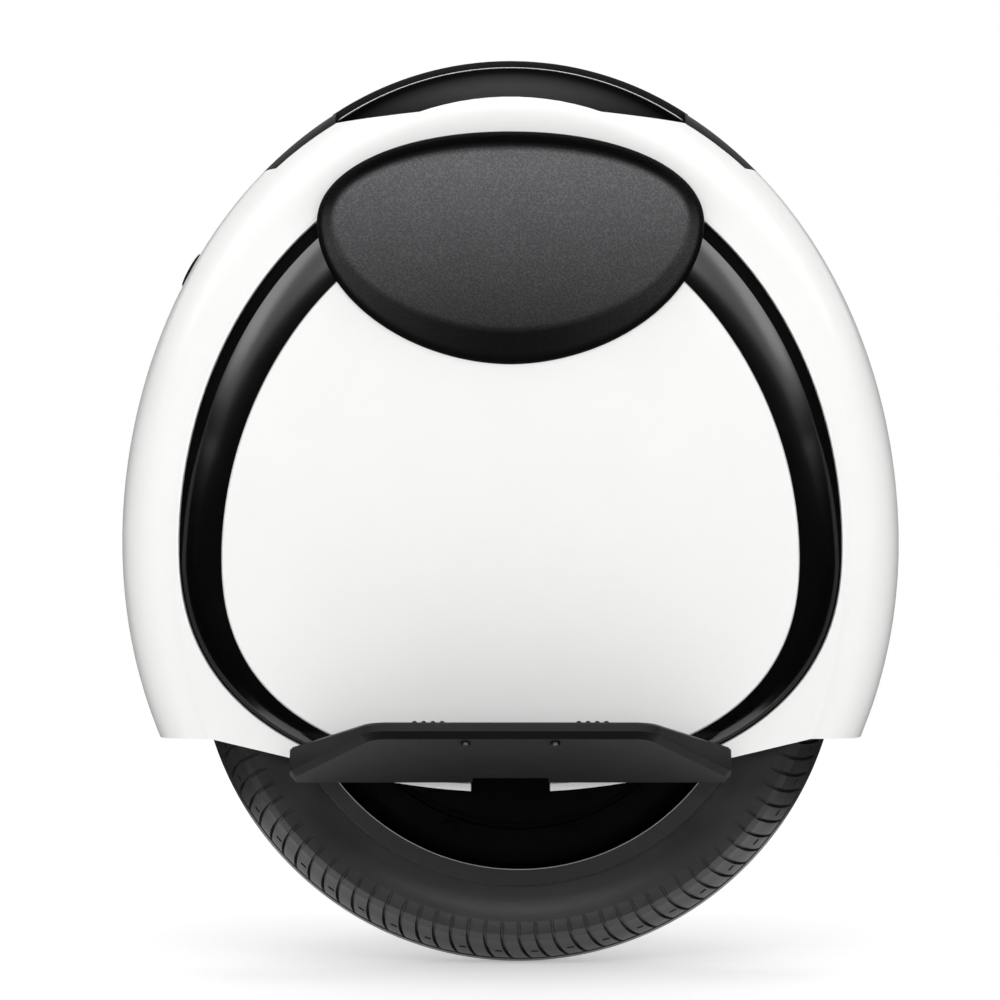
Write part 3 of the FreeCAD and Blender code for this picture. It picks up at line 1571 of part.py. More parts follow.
def build_tray(pitch):
    body = new_body("Tray")
    rows = cell_rows()
    wide_count = sum(1 for columns in rows if len(columns) == len(rows[0]))
    wall = size.tray_wall
    gap = size.cell_gap
    narrow_half = size.cable_gap * 0.5 + size.cell_length + gap
    wide_half = narrow_half + size.cell_length + gap
    low = size.tray_bottom
    shoulder = low + wall * 2 + gap * 2 + pitch * wide_count
    top = low + wall * 2 + gap * 2 + pitch * len(rows)

    def tee(inset):
        return [
            (-wide_half + inset - wall, low + inset),
            (wide_half - inset + wall, low + inset),
            (wide_half - inset + wall, shoulder - inset),
            (narrow_half - inset + wall, shoulder - inset),
            (narrow_half - inset + wall, top - inset),
            (-narrow_half + inset - wall, top - inset),
            (-narrow_half + inset - wall, shoulder - inset),
            (-wide_half + inset - wall, shoulder - inset),
        ]

    pad(body, outline_sketch(body, "XZ_Plane", tee(nil)), size.tray_height)
    hollow = outline_sketch(body, "XZ_Plane", tee(wall))
    hollow.AttachmentOffset = Placement(Vector(0, 0, size.tray_floor.value), Rotation())
    hollow.setExpression("AttachmentOffset.Base.z", size.tray_floor.text)
    pocket(body, hollow, size.tray_height, reversed_way=True)
    place(body, nil, -size.arch_depth - size.arch_wall - size.seat_gap, nil)
    keep_pair(body, "battery_tray")


def height_on(radius, across):
    """Height of a circle about the axle at a distance fore or aft."""
    value = math.sqrt(radius.value**2 - across.value**2)
    return Size(value, f"sqrt(({radius.text})^2 - ({across.text})^2)")


def build_controller():
    body = new_body("HeatSink")
    half = size.sink_half_length
    saddle = arch_radius() + size.seat_gap
    top = size.sink_height - size.tyre_radius
    edge = height_on(saddle, half)
    corners = [(-half, edge, -saddle), (half, edge), (half, top), (-half, top)]
    profile = outline_sketch(body, "XZ_Plane", corners)
    pad(body, profile, size.sink_half_width * 2, both_ways=True)
    fins = new_sketch(body, "XZ_Plane")
    for number in range(fin_count):
        for side in (1, -1):
            near = half - size.fin_pitch * number
            add_outline(fins, [
                (near * side, top - size.fin_thickness),
                (near * side, top + size.fin_height),
                ((near - size.fin_thickness) * side, top + size.fin_height),
                ((near - size.fin_thickness) * side, top - size.fin_thickness),
            ])
    pad(body, fins, size.sink_half_width * 2, both_ways=True)
    place_on_axle(body)
    keep(body, "heat_sink")
    seat = size.sink_height
    transistors = []
    for number in range(transistor_count):
        column = number % 3 - 1
        row = 1 if number < 3 else -1
        sides = (size.transistor_length, size.transistor_width, size.transistor_height)
        block = box(f"Transistor{number}", *sides)
        x = size.axle_shift + size.transistor_pitch * column - size.transistor_length * 0.5
        place(block, x, size.transistor_row_offset * row - size.transistor_width * 0.5, seat)
        transistors.append(block)
    keep(group("Transistors", transistors), "power_transistors")
    board_low = seat + size.transistor_height
    board = box("Board", size.board_half_length * 2, size.board_half_width * 2, size.board_thickness)
    place(board, size.axle_shift - size.board_half_length, -size.board_half_width, board_low)
    keep(board, "control_board")
    capacitors = []
    for number in range(capacitor_count):
        can = cylinder(f"Capacitor{number}", size.capacitor_radius, size.capacitor_height)
        x = size.axle_shift + size.capacitor_pitch * (number - (capacitor_count - 1) / 2)
        place(can, x, -size.capacitor_radius, board_low + size.board_thickness)
        capacitors.append(can)
    keep(group("Capacitors", capacitors), "capacitors")


def bent_path(points):
    """Straight runs through points, with an arc at each bend."""
    edges = []
    here = points[0]
    for before, corner, after in zip(points, points[1:], points[2:]):
        back = (before - corner).normalize()
        ahead = (after - corner).normalize()
        shorter = min((before - corner).Length, (after - corner).Length)
        reach = shorter * cable_bend_share
        half_turn = (math.pi - back.getAngle(ahead)) / 2
        radius = reach / math.tan(half_turn)
        inward = (back + ahead).normalize()
        middle = corner + inward * (radius / math.cos(half_turn) - radius)
        edges.append(Part.makeLine(here, corner + back * reach))
        edges.append(Part.Arc(corner + back * reach, middle, corner + ahead * reach).toShape())
        here = corner + ahead * reach
    edges.append(Part.makeLine(here, points[-1]))
    return Part.Wire(edges)


def build_cable():
    """Motor cable from the axle's side hole, over the hanger, up between the cells, to the control board."""
    radius = size.cable_radius.value
    axle_x = size.axle_shift.value
    axle_z = size.tyre_radius.value
    lane = cable_lane().value
    depth = cell_depth().value
    boss_top = axle_z + size.hanger_boss_radius.value
    board_top = size.sink_height.value + size.transistor_height.value + size.board_thickness.value
    lying = board_top + radius + size.seat_gap.value
    edge = size.sink_half_width.value
    path = bent_path([
        Vector(axle_x, lane, axle_z + size.axle_bore_radius.value),
        Vector(axle_x, lane, boss_top + 1.5 * radius),
        Vector(0, depth, boss_top + 3.5 * radius),
        Vector(0, depth, lying + 3 * radius),
        Vector(0, edge, lying),
        Vector(0, edge - 3 * radius, lying),
    ])
    end = Part.Wire(Part.makeCircle(radius, path.Edges[0].Vertexes[0].Point, Vector(0, 0, 1)))
    keep(formed("Cable", path.makePipeShell([end], True, False)), "motor_cable")


# lamps and charging

def build_lamps():
    play = size.drop_in_play.value
    form = shell_form(0)
    keep(formed("HeadLens", form.common(head_lamp(play))), "head_lamp_lens")
    keep(formed("TailLens", form.common(tail_lamp(play))), "tail_lamp_lens")
    wide = size.head_lamp_half_width * lamp_board_share
    tall = size.head_lamp_half_height * lamp_board_share
    board = box("HeadBoard", size.lamp_board_thickness, wide * 2, tall * 2)
    behind = size.head_lamp_back - size.running_clearance - size.lamp_board_thickness
    place(board, behind, -wide, size.head_lamp_height - tall)
    keep(board, "head_lamp_board")
    wide = size.tail_lamp_half_width * lamp_board_share
    tall = size.tail_lamp_half_height * lamp_board_share
    board = box("TailBoard", size.lamp_board_thickness, wide * 2, tall * 2)
    place(board, size.running_clearance - size.tail_lamp_back, -wide, size.tail_lamp_height - tall)
    keep(board, "tail_lamp_board")


def build_charging():
    sink = size.socket_sink.value
    length = size.socket_length.value
    body = charge_rod(size.socket_radius.value, sink + length, -sink)
    bore = charge_rod(size.plug_radius.value, sink + size.plug_depth.value, sink)
    keep(formed("Socket", body.cut(bore)), "charge_socket")
    gap = size.seat_gap.value
    leaf = shell_form(-gap - size.door_thickness.value).cut(shell_form(-gap))
    disc = charge_rod(size.door_radius.value, size.socket_length.value, size.socket_length.value)
    keep(formed("Door", leaf.common(disc)), "charge_door")


build_tyre()
build_tube()
build_rim()
build_valve()
build_magnets()
build_stator()
build_covers()
build_axle()
build_axle_nuts()
build_hanger()
build_pedal()
build_grips()
build_bumpers()
build_shell()
build_trim()
build_panel()
build_leg_pad()
build_handle()
build_well()
build_arch()
build_shell_screws()
build_batteries()
build_controller()
build_cable()
build_lamps()
build_charging()
doc.recompute()

for item in doc.Objects:
    if "Invalid" in item.State or "Error" in item.State:
        raise RuntimeError(f"{item.Name} did not compute: {item.State}")

os.makedirs("parts", exist_ok=True)
for item in kept:
    if item.Shape.isNull() or not item.Shape.isValid():
        raise RuntimeError(f"{item.Label} has no valid shape")
    item.Shape.exportStep(os.path.join("parts", f"{item.Label}.step"))
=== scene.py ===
import math

import bpy
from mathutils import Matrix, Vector


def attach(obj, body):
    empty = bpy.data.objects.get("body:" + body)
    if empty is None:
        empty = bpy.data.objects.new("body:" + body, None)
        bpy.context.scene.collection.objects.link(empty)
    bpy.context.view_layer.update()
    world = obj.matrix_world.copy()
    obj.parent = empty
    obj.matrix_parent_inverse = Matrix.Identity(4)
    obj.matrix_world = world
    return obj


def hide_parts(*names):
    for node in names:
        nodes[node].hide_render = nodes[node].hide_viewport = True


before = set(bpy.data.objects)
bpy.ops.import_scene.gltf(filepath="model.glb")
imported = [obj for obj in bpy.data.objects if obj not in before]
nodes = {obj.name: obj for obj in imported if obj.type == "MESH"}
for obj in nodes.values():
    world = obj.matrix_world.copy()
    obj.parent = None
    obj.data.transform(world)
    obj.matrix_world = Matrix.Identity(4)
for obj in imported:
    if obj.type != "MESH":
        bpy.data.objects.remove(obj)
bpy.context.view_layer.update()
scene = bpy.context.scene
scene.view_settings.view_transform = "Standard"
mm = 0.001
print("frame loaded:", len(nodes), "nodes")


def clamp(share):
    return min(max(share, 0), 1)


def smooth(share):
    return share * share * (3 - 2 * share)


def linear(hexColour):
    shares = [int(hexColour[i:i + 2], 16) / 255 for i in (0, 2, 4)]
    return tuple(c / 12.92 if c <= 0.04045 else ((c + 0.055) / 1.055) ** 2.4 for c in shares) + (1,)


# adds a node: settings go to its sockets or its own options, links join other outputs to its sockets
def addNode(tree, kind, settings=None, links=None):
    node = tree.nodes.new(kind)
    for name, value in (settings or {}).items():
        if isinstance(name, int) or name in node.inputs:
            node.inputs[name].default_value = value
        else:
            setattr(node, name, value)
    for name, source in (links or {}).items():
        tree.links.new(source, node.inputs[name])
    return node


# camera: a level side view of the machine's right side, two metres off
sideView = {"place": (0, -2.0, 0.199), "lens": 130.5, "sensor": 36, "shiftX": -0.0105, "shiftY": 0.1}
lens = bpy.data.cameras.new("sideCamera")
lens.lens = sideView["lens"]
lens.sensor_width = sideView["sensor"]
lens.shift_x = sideView["shiftX"]
lens.shift_y = sideView["shiftY"]
camera = bpy.data.objects.new("sideCamera", lens)
camera.location = sideView["place"]
camera.rotation_euler = (math.pi / 2, 0, 0)
scene.collection.objects.link(camera)
scene.camera = camera

# studio: white sweep, strip softboxes high at both ends, a large softbox high on each side over a low
# fill, and black flags all round with cards on the floor, which only reflections show
studio = {
    "skyLight": 0.42, "floorHalf": 4.0, "floorWhite": "F2F2F2", "floorLift": 0.36,
    "shadowRadius": 0.32, "fadeRadius": 0.8,
    "lamps": {
        "frontStrip": {"place": (1.1, -0.75, 1.45), "aim": (0, 0, 0.35), "size": (0.50, 1.2), "watts": 4.6},
        "rearStrip": {"place": (-1.1, -0.75, 1.45), "aim": (0, 0, 0.35), "size": (0.50, 1.2), "watts": 4.6},
        "keySoftbox": {"place": (0.0, -2.2, 2.0), "aim": (0, 0, 0.25), "size": (2.2, 1.2), "watts": 17},
        "farSoftbox": {"place": (0.0, 2.2, 2.0), "aim": (0, 0, 0.25), "size": (2.2, 1.2), "watts": 17},
        "nearFill": {"place": (0.0, -2.8, 0.4), "aim": (0, 0, 0.25), "size": (2.4, 0.8), "watts": 16},
        "farFill": {"place": (0.0, 2.8, 0.4), "aim": (0, 0, 0.25), "size": (2.4, 0.8), "watts": 16},
    },
    "unreflected": ("nearFill", "farFill"),
    "flagAway": 3.6, "flagTop": 1.7, "cardFrom": 0.26, "flagBlack": "050505",
}


# a ray that shows the background itself: seen directly, in a reflection or through a lens
def seenRay(tree):
    path = addNode(tree, "ShaderNodeLightPath")
    direct = addNode(tree, "ShaderNodeMath", {"operation": "MAXIMUM"},
                     {0: path.outputs["Is Camera Ray"], 1: path.outputs["Is Glossy Ray"]})
    return addNode(tree, "ShaderNodeMath", {"operation": "MAXIMUM"},
                   {0: direct.outputs[0], 1: path.outputs["Is Transmission Ray"]}).outputs[0]


world = bpy.data.worlds.new("whiteStudio")
world.use_nodes = True
tree = world.node_tree
tree.nodes.clear()
skyLight = addNode(tree, "ShaderNodeBackground", {"Color": linear("FFFFFF"), "Strength": studio["skyLight"]})
skyWhite = addNode(tree, "ShaderNodeBackground", {"Color": linear("FFFFFF"), "Strength": 1.0})
sky = addNode(tree, "ShaderNodeMixShader", None,
              {0: seenRay(tree), 1: skyLight.outputs[0], 2: skyWhite.outputs[0]})
addNode(tree, "ShaderNodeOutputWorld", None, {"Surface": sky.outputs[0]})
scene.world = world

floorMesh = bpy.data.meshes.new("studioFloor")
reach = studio["floorHalf"]
floorMesh.from_pydata([(-reach, -reach, 0), (reach, -reach, 0), (reach, reach, 0), (-reach, reach, 0)],
                      [], [(0, 1, 2, 3)])
floor = bpy.data.objects.new("studioFloor", floorMesh)
scene.collection.objects.link(floor)

# painted sweep: takes the shadow near the wheel and runs out to plain white
sweepPaint = bpy.data.materials.new("matt white sweep paint")
sweepPaint.use_nodes = True
tree = sweepPaint.node_tree
tree.nodes.clear()
seen = seenRay(tree)
place = addNode(tree, "ShaderNodeTexCoord").outputs["Object"]
away = addNode(tree, "ShaderNodeVectorMath", {"operation": "LENGTH"}, {0: place}).outputs["Value"]
fade = addNode(tree, "ShaderNodeMapRange",
               {"interpolation_type": "SMOOTHSTEP", "From Min": studio["shadowRadius"],
                "From Max": studio["fadeRadius"]}, {"Value": away}).outputs[0]
paint = addNode(tree, "ShaderNodeBsdfDiffuse", {"Color": linear(studio["floorWhite"])})
liftShare = addNode(tree, "ShaderNodeMath", {"operation": "MULTIPLY", 1: studio["floorLift"]}, {0: seen})
lift = addNode(tree, "ShaderNodeEmission", {"Color": linear("FFFFFF")}, {"Strength": liftShare.outputs[0]})
near = addNode(tree, "ShaderNodeAddShader", None, {0: paint.outputs[0], 1: lift.outputs[0]})
plain = addNode(tree, "ShaderNodeEmission", {"Color": linear("FFFFFF"), "Strength": 1.0})
farShare = addNode(tree, "ShaderNodeMath", {"operation": "MULTIPLY"}, {0: fade, 1: seen})
sweep = addNode(tree, "ShaderNodeMixShader", None,
                {0: farShare.outputs[0], 1: near.outputs[0], 2: plain.outputs[0]})
addNode(tree, "ShaderNodeOutputMaterial", None, {"Surface": sweep.outputs[0]})
floorMesh.materials.append(sweepPaint)

# black felt flags, each with a card laid before it: dark shapes for gloss surfaces to reflect,
# unseen by the camera and by soft light
flagFelt = bpy.data.materials.new("black felt flag")
flagFelt.use_nodes = True
flagFelt.node_tree.nodes.clear()
felt = addNode(flagFelt.node_tree, "ShaderNodeBsdfDiffuse", {"Color": linear(studio["flagBlack"])})
addNode(flagFelt.node_tree, "ShaderNodeOutputMaterial", None, {"Surface": felt.outputs[0]})
for name, turn in (("nearFlag", 0), ("frontFlag", 90), ("farFlag", 180), ("rearFlag", 270)):
    away, top, near = studio["flagAway"], studio["flagTop"], studio["cardFrom"]
    flagMesh = bpy.data.meshes.new(name)
    corners = [(-away, -away, mm), (away, -away, mm), (away, -away, top), (-away, -away, top),
               (near, -near, mm), (-near, -near, mm)]
    flagMesh.from_pydata(corners, [], [(0, 1, 2, 3), (0, 1, 4, 5)])
    flagMesh.materials.append(flagFelt)
    flag = bpy.data.objects.new(name, flagMesh)
    flag.rotation_euler = (0, 0, math.radians(turn))
    flag.visible_camera = False
    flag.visible_diffuse = False
    flag.visible_transmission = False
    flag.visible_shadow = False
    scene.collection.objects.link(flag)

for name, lamp in studio["lamps"].items():
    light = bpy.data.lights.new(name, "AREA")
    light.shape = "RECTANGLE"
    light.size, light.size_y = lamp["size"]
    light.energy = lamp["watts"]
    holder = bpy.data.objects.new(name, light)
    holder.location = lamp["place"]
    holder.visible_glossy = name not in studio["unreflected"]
    facing = Vector(lamp["aim"]) - Vector(lamp["place"])
    holder.rotation_euler = facing.to_track_quat("-Z", "Y").to_euler()
    scene.collection.objects.link(holder)
print("camera and studio placed")


# a finish: two close tones that drift over cloudSize, an uneven gloss, and a fine relief of grainSize
# and depth, all in mm; relief is noise for moulded skins, cells for leather grain, or lines along an
# axis for turned and stacked metal
def makeFinish(look):
    material = bpy.data.materials.new(look["name"])
    material.use_nodes = True
    tree = material.node_tree
    tree.nodes.clear()
    place = addNode(tree, "ShaderNodeTexCoord").outputs["Object"]
    cloud = addNode(tree, "ShaderNodeTexNoise", {"Scale": 1 / (look["cloudSize"] * mm), "Detail": 4.0},
                    {"Vector": place})
    relief = look.get("relief", "noise")
    perMetre = 1 / (look["grainSize"] * mm)
    if relief == "noise":
        grain = addNode(tree, "ShaderNodeTexNoise", {"Scale": perMetre, "Detail": 2.0}, {"Vector": place})
    elif relief == "cells":
        grain = addNode(tree, "ShaderNodeTexVoronoi",
                        {"feature": "SMOOTH_F1", "Scale": perMetre, "Smoothness": 0.4}, {"Vector": place})
    else:
        # the wave texture turns 20 radians for each unit of scale
        grain = addNode(tree, "ShaderNodeTexWave",
                        {"wave_type": relief, "bands_direction": look["axis"], "rings_direction": look["axis"],
                         "Scale": 2 * math.pi / 20 * perMetre, "Distortion": 0.6, "Detail": 2.0},
                        {"Vector": place})
    height = grain.outputs["Distance" if relief == "cells" else "Fac"]
    drift = addNode(tree, "ShaderNodeMath", {"operation": "MULTIPLY", 1: look.get("cloudTone", 1.0)},
                    {0: cloud.outputs["Fac"]})
    mixed = addNode(tree, "ShaderNodeMath", {"operation": "MULTIPLY_ADD", 1: look.get("grainTone", 0.3)},
                    {0: height, 2: drift.outputs[0]})
    dark, pale = [linear(hexColour) for hexColour in look["tones"]]
    tone = addNode(tree, "ShaderNodeMix", {"data_type": "RGBA", 6: dark, 7: pale}, {0: mixed.outputs[0]})
    colour = tone.outputs[2]
    if "edgeShadeTone" in look:
        # the share is 0 on the edge, which is painted near black as shade, and 1 on the grained face; over the
        # face it also carries painted light, lighter at the top and darker towards the chin
        face = addNode(tree, "ShaderNodeAttribute", {"attribute_name": "skinAndShadeShare"})
        colour = addNode(tree, "ShaderNodeMix", {"data_type": "RGBA", 6: linear(look["edgeShadeTone"])},
                         {0: face.outputs["Fac"], 7: tone.outputs[2]}).outputs[2]
    if "zone" in look:
        # a zone of another tone, by distance from an axis or along a slope (mm): painted light on the handle's
        # belly, painted shade on the pedals' bevel and the rim's barrel
        zone = look["zone"]
        first, last, soft = [zone[key] * mm for key in ("from", "to", "soft")]
        moved = addNode(tree, "ShaderNodeVectorMath",
                        {"operation": "MULTIPLY_ADD", 1: zone["keep"], 2: zone["shift"]}, {0: place})
        even = addNode(tree, "ShaderNodeVectorMath", {"operation": "ABSOLUTE"}, {0: moved.outputs[0]})
        far = addNode(tree, "ShaderNodeVectorMath", {"operation": zone["measure"], 1: zone["along"]},
                      {0: even.outputs[0]})
        starts = addNode(tree, "ShaderNodeMapRange", {"From Min": first - soft, "From Max": first},
                         {"Value": far.outputs["Value"]})
        ends = addNode(tree, "ShaderNodeMapRange",
                       {"From Min": last, "From Max": last + soft, "To Min": 1.0, "To Max": 0.0},
                       {"Value": far.outputs["Value"]})
        within = addNode(tree, "ShaderNodeMath", {"operation": "MULTIPLY"},
                         {0: starts.outputs[0], 1: ends.outputs[0]})
        colour = addNode(tree, "ShaderNodeMix", {"data_type": "RGBA", 7: linear(zone["tone"])},
                         {0: within.outputs[0], 6: tone.outputs[2]}).outputs[2]
    gloss = addNode(tree, "ShaderNodeMapRange", {"To Min": look["rough"][0], "To Max": look["rough"][1]},
                    {"Value": cloud.outputs["Fac"]})
    bump = addNode(tree, "ShaderNodeBump", {"Strength": 1.0, "Distance": look["depth"] * mm},
                   {"Height": height})
    surface = {"Metallic": look.get("metallic", 0.0), "Specular IOR Level": look.get("specular", 0.5),
               "Coat Weight": look.get("coat", 0.0), "Coat Roughness": 0.08,
               "Transmission Weight": look.get("clear", 0.0)}
    if "ior" in look:
        surface["IOR"] = look["ior"]
    skin = addNode(tree, "ShaderNodeBsdfPrincipled", surface,
                   {"Base Color": colour, "Roughness": gloss.outputs[0], "Normal": bump.outputs[0]})
    addNode(tree, "ShaderNodeOutputMaterial", None, {"Surface": skin.outputs[0]})
    return material


def bothSides(*stems):
    return [side + "_" + stem for stem in stems for side in ("right", "left")]


